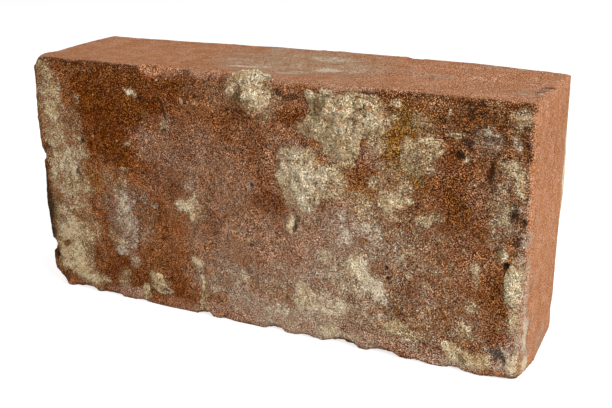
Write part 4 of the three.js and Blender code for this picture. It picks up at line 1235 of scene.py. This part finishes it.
class NodeSheet:
    """A node tree with short words for the nodes that the finishes are made of."""

    def __init__(self, tree: bpy.types.NodeTree) -> None:
        """Take over a tree and empty it."""
        self.tree = tree
        self.tree.nodes.clear()

    def add(self, kind: str, **settings: object) -> bpy.types.Node:
        """Add a node and set its plain properties."""
        node = self.tree.nodes.new(kind)
        for key, value in settings.items():
            setattr(node, key, value)
        return node

    def feed(self, socket: bpy.types.NodeSocket, source: object) -> None:
        """Link a socket to another socket, or give it a plain value."""
        if isinstance(source, bpy.types.NodeSocket):
            self.tree.links.new(source, socket)
        elif isinstance(source, tuple) and len(source) == 3 and socket.type == "RGBA":
            socket.default_value = (*source, 1.0)
        else:
            socket.default_value = source

    def math(
        self, operation: str, first: object, second: object, third: object = 0.0
    ) -> bpy.types.NodeSocket:
        """Add a Math node.

        Args:
            operation: Name of the operation.
            first: First value or socket.
            second: Second value or socket.
            third: Third value or socket.

        Returns:
            The result.
        """
        node = self.add("ShaderNodeMath", operation=operation)
        for socket, source in zip(node.inputs, (first, second, third)):
            self.feed(socket, source)
        return node.outputs[0]

    def times(self, first: object, second: object) -> bpy.types.NodeSocket:
        """Return the product of two values."""
        return self.math("MULTIPLY", first, second)

    def added(self, value: object, weight: object, ground: object) -> bpy.types.NodeSocket:
        """Return a ground value with a weighted value added to it."""
        return self.math("MULTIPLY_ADD", value, weight, ground)

    def ramp(
        self, value: object, low: float, high: float, start: float = 0.0, end: float = 1.0
    ) -> bpy.types.NodeSocket:
        """Ease a value from one range to another.

        Args:
            value: The value or socket to ease.
            low: Value at which the result is start.
            high: Value at which the result is end.
            start: Result at low.
            end: Result at high.

        Returns:
            The eased value.
        """
        node = self.add("ShaderNodeMapRange", interpolation_type="SMOOTHSTEP")
        ends = (("From Min", low), ("From Max", high), ("To Min", start), ("To Max", end))
        for key, source in (("Value", value), *ends):
            self.feed(node.inputs[key], source)
        return node.outputs["Result"]

    def blend(self, share: object, first: object, second: object) -> bpy.types.NodeSocket:
        """Return a colour with a share of a second colour laid over it."""
        node = self.add("ShaderNodeMix", data_type="RGBA", clamp_factor=True)
        for index, source in ((0, share), (6, first), (7, second)):
            self.feed(node.inputs[index], source)
        return node.outputs[2]

    def mix(self, share: object, first: object, second: object) -> bpy.types.NodeSocket:
        """Return a value between two others."""
        node = self.add("ShaderNodeMix", data_type="FLOAT", clamp_factor=True)
        for index, source in ((0, share), (2, first), (3, second)):
            self.feed(node.inputs[index], source)
        return node.outputs[0]

    def vector(self, operation: str, first: object, second: object) -> bpy.types.NodeSocket:
        """Return the result of a Vector Math node."""
        node = self.add("ShaderNodeVectorMath", operation=operation)
        self.feed(node.inputs[0], first)
        self.feed(node.inputs[1], second)
        return node.outputs[0]

    def scaled(self, colour: object, factor: object) -> bpy.types.NodeSocket:
        """Return a colour made lighter or darker by a factor."""
        node = self.add("ShaderNodeVectorMath", operation="SCALE")
        self.feed(node.inputs[0], colour)
        self.feed(node.inputs["Scale"], factor)
        return node.outputs[0]

    def grained(self, colour: object, grain: object) -> bpy.types.NodeSocket:
        """Lay light and dark grain over a colour, as strong on dark ground as on light.

        Args:
            colour: The ground.
            grain: Grain round 0, positive where it is light.

        Returns:
            The grained colour.
        """
        root = self.add("ShaderNodeGamma")
        self.feed(root.inputs["Color"], colour)
        root.inputs["Gamma"].default_value = 0.5
        lifted = self.vector("ADD", colour, self.scaled(self.scaled(root.outputs[0], 0.9), grain))
        return self.vector("MAXIMUM", lifted, self.vector("MULTIPLY", colour, (0.36, 0.25, 0.17)))

    def place(self) -> bpy.types.NodeSocket:
        """Return the place on the piece, in metres."""
        return self.add("ShaderNodeTexCoord").outputs["Object"]

    def painted(self, name: str) -> bpy.types.NodeSocket:
        """Return the numbers that were painted on the vertices under a name."""
        return self.add("ShaderNodeAttribute", attribute_name=name).outputs["Fac"]

    def grain(self, place: object, size: object, detail: float, rough: float) -> bpy.types.NodeSocket:
        """Return fractal noise from 0 to 1.

        Args:
            place: Where it is read.
            size: Width of its lumps, in millimetres.
            detail: How many finer layers lie on the lumps.
            rough: How strong each finer layer is beside the one before.

        Returns:
            The noise.
        """
        node = self.add("ShaderNodeTexNoise")
        self.feed(node.inputs["Vector"], place)
        known = isinstance(size, (int, float))
        self.feed(node.inputs["Scale"], PER_METRE / size if known else self.math("DIVIDE", PER_METRE, size))
        node.inputs["Detail"].default_value = detail
        node.inputs["Roughness"].default_value = rough
        return node.outputs["Fac"]

    def centred(self, place: object, size: object, detail: float, rough: float) -> bpy.types.NodeSocket:
        """Return the same noise as grain does, but round 0."""
        return self.math("SUBTRACT", self.grain(place, size, detail, rough), 0.5)

    def bump(self, height: object, depth: float) -> bpy.types.NodeSocket:
        """Return the normal of a relief, whose height of 1 stands for a depth in millimetres."""
        node = self.add("ShaderNodeBump")
        self.feed(node.inputs["Height"], height)
        node.inputs["Distance"].default_value = depth * MM
        return node.outputs[0]

    def group(self, tree: bpy.types.NodeTree, **sources: object) -> bpy.types.Node:
        """Place a node group and feed its inputs."""
        node = self.add("ShaderNodeGroup", node_tree=tree)
        for key, source in sources.items():
            self.feed(node.inputs[key], source)
        return node

    def show(self, surface: object, kind: str = "ShaderNodeOutputMaterial") -> None:
        """End the tree with an output that shows a surface."""
        self.feed(self.add(kind).inputs["Surface"], surface)


def new_material(name: str) -> tuple[bpy.types.Material, NodeSheet]:
    """Return a material without nodes and the sheet to add them to."""
    material = bpy.data.materials.new(name)
    material.use_nodes = True
    return material, NodeSheet(material.node_tree)


def new_group(
    name: str, inputs: dict[str, float | None], values: tuple[str, ...], colours: tuple[str, ...] = ()
) -> tuple[NodeSheet, dict[str, bpy.types.NodeSocket]]:
    """Start a shader node group.

    Args:
        name: Name of the group.
        inputs: Name and starting value of each input; None makes a place input.
        values: Names of the outputs that are numbers.
        colours: Names of the outputs that are colours.

    Returns:
        The sheet to add nodes to, and its sockets by name.
    """
    tree = bpy.data.node_groups.new(name, "ShaderNodeTree")
    sheet = NodeSheet(tree)
    for key, value in inputs.items():
        kind = "NodeSocketVector" if value is None else "NodeSocketFloat"
        socket = tree.interface.new_socket(key, in_out="INPUT", socket_type=kind)
        if value is not None:
            socket.default_value = value
    outputs = dict.fromkeys(colours, "NodeSocketColor") | dict.fromkeys(values, "NodeSocketFloat")
    for key, kind in outputs.items():
        tree.interface.new_socket(key, in_out="OUTPUT", socket_type=kind)
    start = sheet.add("NodeGroupInput")
    end = sheet.add("NodeGroupOutput")
    sockets = {key: start.outputs[key] for key in inputs} | {key: end.inputs[key] for key in outputs}
    return sheet, sockets


@dataclass(frozen=True)
class ClayTones:
    """The colours of the fired clay."""

    brown: Colour = (0.262, 0.088, 0.023)
    deep: Colour = (0.132, 0.0255, 0.0003)
    mauve: Colour = (0.322, 0.165, 0.090)
    rose: Colour = (0.450, 0.262, 0.168)
    ochre: Colour = (0.245, 0.098, 0.010)
    fresh: Colour = (0.475, 0.203, 0.090)
    fresh_pale: Colour = (0.555, 0.273, 0.155)
    pale_grain: Colour = (0.600, 0.420, 0.280)
    orange_grain: Colour = (0.520, 0.230, 0.090)


@dataclass(frozen=True)
class LimeTones:
    """The colours of the lime and of the sand in it."""

    lime: Colour = (0.760, 0.575, 0.310)
    pale_lime: Colour = (0.860, 0.725, 0.460)
    white: Colour = (0.760, 0.650, 0.500)
    shade: Colour = (0.260, 0.165, 0.080)
    brown_sand: Colour = (0.240, 0.110, 0.045)
    rust_sand: Colour = (0.500, 0.180, 0.050)
    dark_sand: Colour = (0.080, 0.045, 0.022)
    pale_sand: Colour = (0.900, 0.800, 0.620)


class Effects:
    """Effects that more than one finish uses, each built once as a node group."""

    def __init__(self) -> None:
        """Build the groups."""
        self.clay_tones = ClayTones()
        self.lime_tones = LimeTones()
        self.sand = self._sand()
        self.grain = self._grain()
        self.scatter = self._scatter()
        self.mottle = self._mottle()
        self.streaks = self._streaks()
        self.film = self._film()
        self.clay = self._clay()
        self.lime = self._lime()

    def _sand(self) -> bpy.types.NodeTree:
        """Build packed sand: every grain has its own tone and a rounded height."""
        sheet, sockets = new_group("Packed sand", {"Place": None, "Size": 1.0}, ("Tone", "Pick", "Dome"))
        scale = sheet.math("DIVIDE", PER_METRE, sockets["Size"])
        warp = sheet.add("ShaderNodeTexNoise")
        sheet.feed(warp.inputs["Vector"], sockets["Place"])
        sheet.feed(warp.inputs["Scale"], sheet.times(scale, 1.3))
        centred = sheet.vector("SUBTRACT", warp.outputs["Color"], (0.5, 0.5, 0.5))
        reach = sheet.scaled(centred, sheet.times(sockets["Size"], 0.9 * MM))
        cells = sheet.add("ShaderNodeTexVoronoi", feature="F1")
        sheet.feed(cells.inputs["Vector"], sheet.vector("ADD", sockets["Place"], reach))
        sheet.feed(cells.inputs["Scale"], scale)
        parts = sheet.add("ShaderNodeSeparateColor")
        sheet.feed(parts.inputs[0], cells.outputs["Color"])
        sheet.feed(sockets["Tone"], parts.outputs[0])
        sheet.feed(sockets["Pick"], parts.outputs[1])
        sheet.feed(sockets["Dome"], sheet.ramp(cells.outputs["Distance"], 0.75, 0.05))
        return sheet.tree

    def _grain(self) -> bpy.types.NodeTree:
        """Build sandy grain: small and large grains on uneven ground, as tone round 0 and as relief."""
        sheet, sockets = new_group(
            "Sandy grain", {"Place": None}, ("Grain", "Relief", "Pick", "Dome", "Hue")
        )
        small = sheet.group(self.sand, Place=sockets["Place"], Size=SMALL_GRAIN)
        large = sheet.group(self.sand, Place=sockets["Place"], Size=LARGE_GRAIN)
        ground = sheet.centred(sockets["Place"], 3.0, 4.0, 0.7)
        tone = sheet.added(sheet.math("POWER", small.outputs["Tone"], 2.2), 0.9, -0.35)
        tone = sheet.added(sheet.centred(sockets["Place"], 0.46, 1.0, 0.5), 6.8, tone)
        sheet.feed(sockets["Grain"], sheet.added(ground, 0.2, tone))
        proud = sheet.added(large.outputs["Tone"], 0.15, 0.02)
        proud = sheet.times(large.outputs["Dome"], proud)
        relief = sheet.added(small.outputs["Dome"], 0.14, proud)
        sheet.feed(sockets["Relief"], sheet.added(ground, 0.42, relief))
        for name in ("Pick", "Dome"):
            sheet.feed(sockets[name], large.outputs[name])
        sheet.feed(sockets["Hue"], small.outputs["Pick"])
        return sheet.tree

    def _scatter(self) -> bpy.types.NodeTree:
        """Build chance, about -1 to 1, that breaks a border up into islands, flecks and single grains."""
        sheet, sockets = new_group("Scattered flecks", {"Place": None, "Size": 1.0}, ("Chance",))
        place, size = sockets["Place"], sockets["Size"]
        grains = sheet.group(self.sand, Place=place, Size=sheet.times(size, 0.5))
        chance = sheet.added(grains.outputs["Pick"], 1.4, -0.7)
        for share, weight, detail in ((0.6, 4.5, 0.0), (7.0, 2.9, 4.0), (2.3, 2.5, 4.0)):
            lumps = sheet.centred(place, sheet.times(size, share), detail, 0.65)
            chance = sheet.added(lumps, weight, chance)
        sheet.feed(sockets["Chance"], chance)
        return sheet.tree

    def _mottle(self) -> bpy.types.NodeTree:
        """Build uneven shade from broad clouds down to single grains, about 0 to 1 round 0.5."""
        sheet, sockets = new_group("Uneven shade", {"Place": None, "Broad": 12.0, "Fine": 1.4}, ("Shade",))
        broad = sheet.grain(sockets["Place"], sockets["Broad"], 4.0, 0.6)
        fine = sheet.grain(sockets["Place"], sockets["Fine"], 3.0, 0.7)
        sheet.feed(sockets["Shade"], sheet.mix(0.5, broad, fine))
        return sheet.tree

    def _streaks(self) -> bpy.types.NodeTree:
        """Build the streaks that the mould drew: lengthwise, or upright on the ends."""
        sheet, sockets = new_group("Drag streaks", {"Place": None, "Upright": 0.0}, ("Streak",))
        parts = sheet.add("ShaderNodeSeparateXYZ")
        sheet.feed(parts.inputs[0], sockets["Place"])
        stretched = sheet.add("ShaderNodeCombineXYZ")
        along = sheet.mix(sockets["Upright"], 0.07, 1.0)
        upwards = sheet.mix(sockets["Upright"], 1.0, 0.07)
        sheet.feed(stretched.inputs[0], sheet.times(parts.outputs[0], along))
        sheet.feed(stretched.inputs[1], parts.outputs[1])
        sheet.feed(stretched.inputs[2], sheet.times(parts.outputs[2], upwards))
        broad = sheet.grain(stretched.outputs[0], 4.5, 3.0, 0.6)
        fine = sheet.grain(stretched.outputs[0], 1.1, 3.0, 0.7)
        sheet.feed(sockets["Streak"], sheet.mix(0.6, broad, fine))
        return sheet.tree

    def _film(self) -> bpy.types.NodeTree:
        """Build a broken film: flecks and patches that cover as much as was painted, in a thin haze."""
        sheet, sockets = new_group(
            "Broken film", {"Place": None, "Painted": 0.0, "Size": 1.0, "Breakup": 0.24}, ("Film",)
        )
        chance = sheet.group(self.scatter, Place=sockets["Place"], Size=sockets["Size"]).outputs[0]
        value = sheet.added(chance, sockets["Breakup"], sockets["Painted"])
        begun = sheet.ramp(sockets["Painted"], 0.03, 0.15)
        broken = sheet.times(sheet.ramp(value, 0.26, 0.74), begun)
        haze = sheet.times(sheet.math("MINIMUM", sockets["Painted"], 1.0), 0.17)
        sheet.feed(sockets["Film"], sheet.math("MAXIMUM", broken, haze))
        return sheet.tree

    def _clay(self) -> bpy.types.NodeTree:
        """Build bare fired clay, from its darkest skin to freshly broken clay, with its sandy grain."""
        sheet, sockets = new_group(
            "Fired clay", {"Place": None} | dict.fromkeys(CLAY_PAINTS, 0.0), ("Height",), ("Colour",)
        )
        place, coarse = sockets["Place"], sockets["Coarse"]
        streak = sheet.group(self.streaks, Place=place, Upright=sockets["Upright"]).outputs[0]
        drawn = sheet.mix(sockets["Drawn"], 1.0, sheet.ramp(streak, 0.36, 0.62, 0.55, 1.35))
        colour = sheet.scaled(self._clay_ground(sheet, sockets), drawn)
        sand = sheet.group(self.grain, Place=place)
        dome = sheet.ramp(sand.outputs["Dome"], 0.25, 0.7)
        lone = sheet.times(sheet.times(sheet.ramp(sand.outputs["Pick"], 0.925, 0.945), dome), coarse)
        whole = sheet.ramp(sockets["Deep"], 0.3, 0.9, 1.0, 0.6)
        pale = sheet.times(sheet.ramp(sand.outputs["Hue"], 0.3, 0.7), whole)
        lone_tone = sheet.blend(pale, self.clay_tones.orange_grain, self.clay_tones.pale_grain)
        patches = sheet.ramp(sheet.grain(place, 12.0, 3.0, 0.6), 0.35, 0.65, 0.7, 1.15)
        strength = sheet.times(sheet.times(coarse, patches), sheet.ramp(coarse, 0.7, 1.0, 1.0, 1.22))
        colour = sheet.grained(colour, sheet.times(sand.outputs["Grain"], strength))
        colour = sheet.blend(sheet.times(lone, 0.6), colour, lone_tone)
        # painted shade: the pores, small holes between the grains, darkened to 0.4 of their colour as well
        # as sunk
        share = sheet.ramp(coarse, 0.78, 1.0, 0.04, 0.19)
        pore = sheet.times(sheet.times(sheet.math("LESS_THAN", sand.outputs["Pick"], share), dome), coarse)
        sheet.feed(sockets["Colour"], sheet.scaled(colour, sheet.ramp(pore, 0.0, 1.0, 1.0, 0.4)))
        height = sheet.times(sand.outputs["Relief"], sheet.ramp(coarse, 0.0, 1.0, 0.2, 1.0))
        for part, weight in ((lone, 0.3), (pore, -0.5), (sheet.times(streak, sockets["Drawn"]), 0.5)):
            height = sheet.added(part, weight, height)
        sheet.feed(sockets["Height"], height)
        return sheet.tree

    def _clay_ground(
        self, sheet: NodeSheet, sockets: dict[str, bpy.types.NodeSocket]
    ) -> bpy.types.NodeSocket:
        """Lay the clay's tones over one another.

        Args:
            sheet: Where the nodes go.
            sockets: The place and what is painted on the clay, by name.

        Returns:
            The colour of the clay without its grain.
        """
        place, tones = sockets["Place"], self.clay_tones
        cloud = sheet.grain(place, 22.0, 4.0, 0.6)
        colour = sheet.blend(sheet.ramp(cloud, 0.5, 0.7, 0.0, 0.3), tones.brown, tones.mauve)
        colour = sheet.blend(sheet.ramp(cloud, 0.5, 0.3, 0.0, 0.3), colour, tones.deep)
        wisps = sheet.group(self.scatter, Place=place, Size=1.6).outputs[0]
        veils = {}
        for name in ("Mauve", "Deep", "Ochre", "Rose"):
            reach = sheet.ramp(sockets[name], 0.0, 0.4, 0.0, 0.17)
            veils[name] = sheet.added(wisps, reach, sockets[name])
        for name, tone in (("Mauve", tones.mauve), ("Deep", tones.deep), ("Ochre", tones.ochre)):
            colour = sheet.blend(veils[name], colour, tone)
        hue = sheet.ramp(sheet.grain(place, 8.0, 5.0, 0.68), 0.34, 0.66)
        colour = sheet.vector("MULTIPLY", colour, sheet.blend(hue, (1.07, 0.96, 0.74), (0.95, 1.04, 1.22)))
        patchy = sheet.ramp(sheet.grain(place, 3.6, 3.0, 0.62), 0.28, 0.72, 0.66, 1.34)
        colour = sheet.scaled(colour, sheet.mix(sheet.ramp(sockets["Coarse"], 0.3, 0.7), 1.0, patchy))
        paler = sheet.ramp(sheet.grain(place, 7.0, 4.0, 0.65), 0.35, 0.65)
        colour = sheet.blend(sockets["Fresh"], colour, sheet.blend(paler, tones.fresh, tones.fresh_pale))
        return sheet.blend(veils["Rose"], colour, tones.rose)

    def _lime(self) -> bpy.types.NodeTree:
        """Build lime mortar: cream to white lime with brown, dark, orange and pale sand in it."""
        sheet, sockets = new_group(
            "Lime mortar",
            {"Place": None, "White": 0.0, "Coarse": 1.0, "Crumbly": 0.0},
            ("Height",),
            ("Colour",),
        )
        place, tones = sockets["Place"], self.lime_tones
        shade = sheet.group(self.mottle, Place=place, Broad=5.0, Fine=1.6).outputs[0]
        sand = sheet.group(self.grain, Place=place)
        paler = sheet.ramp(sheet.grain(place, 6.0, 4.0, 0.65), 0.4, 0.64)
        lime = sheet.blend(paler, tones.lime, tones.pale_lime)
        lime = sheet.blend(sockets["White"], lime, tones.white)
        colour = sheet.blend(sheet.ramp(shade, 0.47, 0.3), lime, tones.shade)
        own = sheet.added(sand.outputs["Hue"], 0.95, -0.475)
        speckle = sheet.added(sand.outputs["Grain"], -0.48, own)
        colour = sheet.grained(colour, sheet.times(speckle, sockets["Coarse"]))
        pick = sand.outputs["Pick"]
        crumb = sheet.group(self.sand, Place=place, Size=LARGE_GRAIN)
        # painted shade: the gaps between crumbs darkened toward the shade tone
        gap = sheet.times(sheet.ramp(crumb.outputs["Dome"], 0.22, 0.0), sockets["Crumbly"])
        tint = sheet.mix(sockets["Crumbly"], 1.0, sheet.ramp(crumb.outputs["Tone"], 0.0, 1.0, 0.8, 1.2))
        colour = sheet.scaled(sheet.blend(sheet.times(gap, 0.4), colour, tones.shade), tint)
        dome = sheet.times(sheet.ramp(sand.outputs["Dome"], 0.25, 0.6), sockets["Coarse"])
        for low, high, tone, share in (
            (0.0, 0.07, tones.brown_sand, 0.65),
            (0.07, 0.11, tones.rust_sand, 0.8),
            (0.11, 0.22, tones.dark_sand, 0.9),
            (0.95, 1.0, tones.pale_sand, 0.4),
        ):
            above, below = sheet.math("GREATER_THAN", pick, low), sheet.math("LESS_THAN", pick, high)
            chosen = sheet.times(sheet.times(above, below), dome)
            colour = sheet.blend(sheet.times(chosen, share), colour, tone)
        sheet.feed(sockets["Colour"], colour)
        height = sheet.added(shade, 0.6, sand.outputs["Relief"])
        proud = sheet.times(crumb.outputs["Dome"], sockets["Crumbly"])
        sheet.feed(sockets["Height"], sheet.added(proud, 0.35, height))
        return sheet.tree


@dataclass(frozen=True)
class OldFaceFinish:
    """The weathered face of the brick or of its mortar: clay, lime over it, and soot and painted shade over
    both.
    """

    name: str
    # The soot and olive tones also lay painted shade: pits, creases, the left arris and the hollows of the
    # mortar.
    soot_and_shade: Colour = (0.030, 0.014, 0.008)
    olive_and_shade: Colour = (0.140, 0.085, 0.028)
    rust: Colour = (0.520, 0.170, 0.040)
    bump_depth: float = 0.7
    sheen: float = 0.03
    crumbly: float = 0.0

    def material(self, effects: Effects) -> bpy.types.Material:
        """Build the material.

        Args:
            effects: The shared node groups.

        Returns:
            The material, which reads what is painted on the vertices.
        """
        material, sheet = new_material(self.name)
        place = sheet.place()
        cream, ash = sheet.painted("cream"), sheet.painted("ash")
        paints = {name: sheet.painted(name.lower()) for name in CLAY_PAINTS}
        coarse = paints["Coarse"]
        clay = sheet.group(effects.clay, Place=place, **paints)
        both = sheet.math("ADD", cream, ash)
        white = sheet.math("DIVIDE", ash, sheet.math("ADD", both, 0.01))
        lime = sheet.group(effects.lime, Place=place, White=white, Coarse=coarse, Crumbly=self.crumbly)
        streak = sheet.group(effects.streaks, Place=place, Upright=paints["Upright"]).outputs[0]
        lines = sheet.mix(paints["Drawn"], 1.0, sheet.ramp(streak, 0.4, 0.6, 0.35, 1.6))
        breakup = sheet.ramp(coarse, 0.25, 0.75, 0.2, 0.4)
        painted = sheet.times(both, lines)
        film = sheet.group(effects.film, Place=place, Painted=painted, Breakup=breakup).outputs[0]
        patchy = sheet.ramp(sheet.grain(place, 4.0, 5.0, 0.7), 0.35, 0.62, 0.5, 0.95)
        dense = sheet.mix(coarse, 0.78, patchy)
        dense = sheet.math("MAXIMUM", dense, sheet.ramp(both, 0.85, 1.3))
        colour = sheet.blend(sheet.times(film, dense), clay.outputs["Colour"], lime.outputs["Colour"])
        stains = (("olive_and_shade", self.olive_and_shade, 0.75), ("rust", self.rust, 0.9), ("soot_and_shade", self.soot_and_shade, 0.82))
        for name, tone, share in stains:
            painted = sheet.painted(name)
            stain = sheet.group(effects.film, Place=place, Painted=painted, Size=0.7)
            colour = sheet.blend(sheet.times(stain.outputs[0], share), colour, tone)
        height = sheet.mix(film, clay.outputs["Height"], sheet.math("ADD", lime.outputs["Height"], 0.35))
        shader = sheet.add("ShaderNodeBsdfPrincipled")
        sheet.feed(shader.inputs["Base Color"], colour)
        sheet.feed(shader.inputs["Roughness"], sheet.ramp(paints["Deep"], 0.3, 0.9, 0.9, 0.74))
        sheet.feed(shader.inputs["Normal"], sheet.bump(height, self.bump_depth))
        shader.inputs["Specular IOR Level"].default_value = self.sheen
        sheet.show(shader.outputs[0])
        return material


@dataclass(frozen=True)
class GritFinish:
    """The small stones in the clay, each of its own colour with a dusty, mottled face."""

    dust: Colour = (0.300, 0.170, 0.095)
    bump_depth: float = 0.3
    roughness: float = 0.8

    def material(self, effects: Effects) -> bpy.types.Material:
        """Build the material.

        Args:
            effects: The shared node groups.

        Returns:
            The material of the stones.
        """
        material, sheet = new_material("grit_in_clay")
        shade = sheet.group(effects.mottle, Place=sheet.place(), Broad=2.5, Fine=0.7).outputs[0]
        own = sheet.add("ShaderNodeAttribute", attribute_name="grit").outputs["Color"]
        colour = sheet.blend(sheet.ramp(shade, 0.52, 0.36, 0.1, 0.75), own, self.dust)
        shader = sheet.add("ShaderNodeBsdfPrincipled")
        sheet.feed(shader.inputs["Base Color"], colour)
        sheet.feed(shader.inputs["Normal"], sheet.bump(shade, self.bump_depth))
        shader.inputs["Roughness"].default_value = self.roughness
        sheet.show(shader.outputs[0])
        return material


# ---------------------------------------------------------------------------------------------------------
# Studio
# ---------------------------------------------------------------------------------------------------------


@dataclass(frozen=True)
class Lamp:
    """A square soft lamp: where it hangs, in metres, its width and its power."""

    name: str
    place: tuple[float, float, float]
    width: float
    power: float


@dataclass(frozen=True)
class Studio:
    """A pale floor, soft lamps and the camera, whose place and lens are in millimetres."""

    camera_place: tuple[float, float, float] = (203.085, -389.099, 214.515)
    camera_right: tuple[float, float, float] = (0.89685031, 0.44207274, -0.0152058)
    camera_down: tuple[float, float, float] = (0.14024334, -0.31678367, -0.93807244)
    camera_forward: tuple[float, float, float] = (-0.4195132, 0.83917805, -0.34610529)
    lens: float = 56.208
    sensor: float = 36.0
    clip: float = 0.01
    floor_reach: float = 3.0
    floor_tone: float = 0.7
    floor_glow: float = 0.72
    sky: float = 0.22
    aim: tuple[float, float, float] = (0.0, 0.0, 0.06)
    lamps: tuple[Lamp, ...] = (
        Lamp("key", (1.15, -0.5, 0.75), 0.7, 16.0),
        Lamp("overhead", (0.0, 0.1, 1.2), 1.0, 3.0),
        Lamp("fill", (-0.7, -1.1, 0.6), 1.0, 4.0),
    )

    def build(self) -> None:
        """Set up the camera, the lamps, the world and the floor."""
        self._camera()
        for lamp in self.lamps:
            self._lamp(lamp)
        self._world()
        self._floor()
        bpy.context.scene.view_settings.view_transform = "Standard"

    def _camera(self) -> None:
        """Place the camera and make it the scene's."""
        data = bpy.data.cameras.new("camera")
        data.lens = self.lens
        data.sensor_width = self.sensor
        data.sensor_fit = "HORIZONTAL"
        data.clip_start = self.clip
        camera = placed("camera", data)
        down, forward = Vector(self.camera_down), Vector(self.camera_forward)
        turn = Matrix((Vector(self.camera_right), -down, -forward)).transposed().to_4x4()
        camera.matrix_world = Matrix.Translation(Vector(self.camera_place) * MM) @ turn
        bpy.context.scene.camera = camera

    def _lamp(self, lamp: Lamp) -> None:
        """Hang one lamp so that it looks at the brick."""
        data = bpy.data.lights.new(lamp.name, "AREA")
        data.size = lamp.width
        data.energy = lamp.power
        turn = (Vector(self.aim) - Vector(lamp.place)).to_track_quat("-Z", "Y")
        placed(lamp.name, data).matrix_world = Matrix.Translation(lamp.place) @ turn.to_matrix().to_4x4()

    def _world(self) -> None:
        """Fill the studio with plain light; the camera sees it as white."""
        world = bpy.data.worlds.new("studio")
        world.use_nodes = True
        bpy.context.scene.world = world
        sheet = NodeSheet(world.node_tree)
        path = sheet.add("ShaderNodeLightPath")
        strength = sheet.ramp(path.outputs["Is Camera Ray"], 0.0, 1.0, self.sky, 1.0)
        light = sheet.add("ShaderNodeBackground")
        light.inputs["Color"].default_value = (1, 1, 1, 1)
        sheet.feed(light.inputs["Strength"], strength)
        sheet.show(light.outputs[0], "ShaderNodeOutputWorld")

    def _floor(self) -> None:
        """Lay the pale floor."""
        mesh = bpy.data.meshes.new("floor")
        bm = bmesh.new()
        bmesh.ops.create_grid(bm, x_segments=1, y_segments=1, size=self.floor_reach)
        bm.to_mesh(mesh)
        bm.free()
        floor = placed("floor", mesh)
        mesh.materials.append(self._floor_material())

    def _floor_material(self) -> bpy.types.Material:
        """Build the floor's paint, which keeps the shadow and is seen as white."""
        material, sheet = new_material("pale_floor")
        paint = sheet.add("ShaderNodeBsdfDiffuse")
        sheet.feed(paint.inputs["Color"], (self.floor_tone,) * 3)
        glow = sheet.add("ShaderNodeEmission")
        path = sheet.add("ShaderNodeLightPath")
        seen = path.outputs["Is Camera Ray"]
        sheet.feed(glow.inputs["Strength"], sheet.times(seen, self.floor_glow))
        both = sheet.add("ShaderNodeAddShader")
        sheet.feed(both.inputs[0], paint.outputs[0])
        sheet.feed(both.inputs[1], glow.outputs[0])
        sheet.show(both.outputs[0])
        return material


MORTAR = (
    MortarRemnant("mortar_lump_upper", clods=0.5, slope=1.3, hollow_shade=0.9),
    MortarRemnant("mortar_crust_upper", clods=0.95),
    MortarRemnant("mortar_crust_middle", clods=0.75, opening=1.1, hollow_shade=0.15, whiten=0.6),
    MortarRemnant("mortar_crust_right", opening=1.2),
    MortarRemnant("mortar_crust_right_arris", hollow_shade=0.4, whiten=0.3),
    MortarRemnant("mortar_patch_lower_left"),
)


def main() -> None:
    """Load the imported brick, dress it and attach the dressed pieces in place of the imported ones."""
    logging.basicConfig(level=logging.INFO, format="%(name)s: %(message)s")
    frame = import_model()
    Studio().build()
    effects = Effects()
    clay = OldFaceFinish("fired_clay_worn").material(effects)
    grit = GritFinish().material(effects)
    mortar = OldFaceFinish("lime_mortar_weathered", crumbly=1.0).material(effects)

    brick = ClayBrick().build(frame)
    brick.data.materials.append(clay)
    brick.data.materials.append(grit)
    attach(brick, "root")
    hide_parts("brick_body")
    LOGGER.info("%s: %d faces", brick.name, len(brick.data.polygons))

    packed_clay = merged_copy(frame["nodes"]["brick_body"], "packed_clay")
    clay_tree = surface_tree(packed_clay)
    bpy.data.objects.remove(packed_clay)
    for remnant in MORTAR:
        piece = remnant.build(frame, clay_tree)
        piece.data.materials.append(mortar)
        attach(piece, "root")
        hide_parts(remnant.node)
        LOGGER.info("%s: %d faces", piece.name, len(piece.data.polygons))


if __name__ == "__main__":
    main()
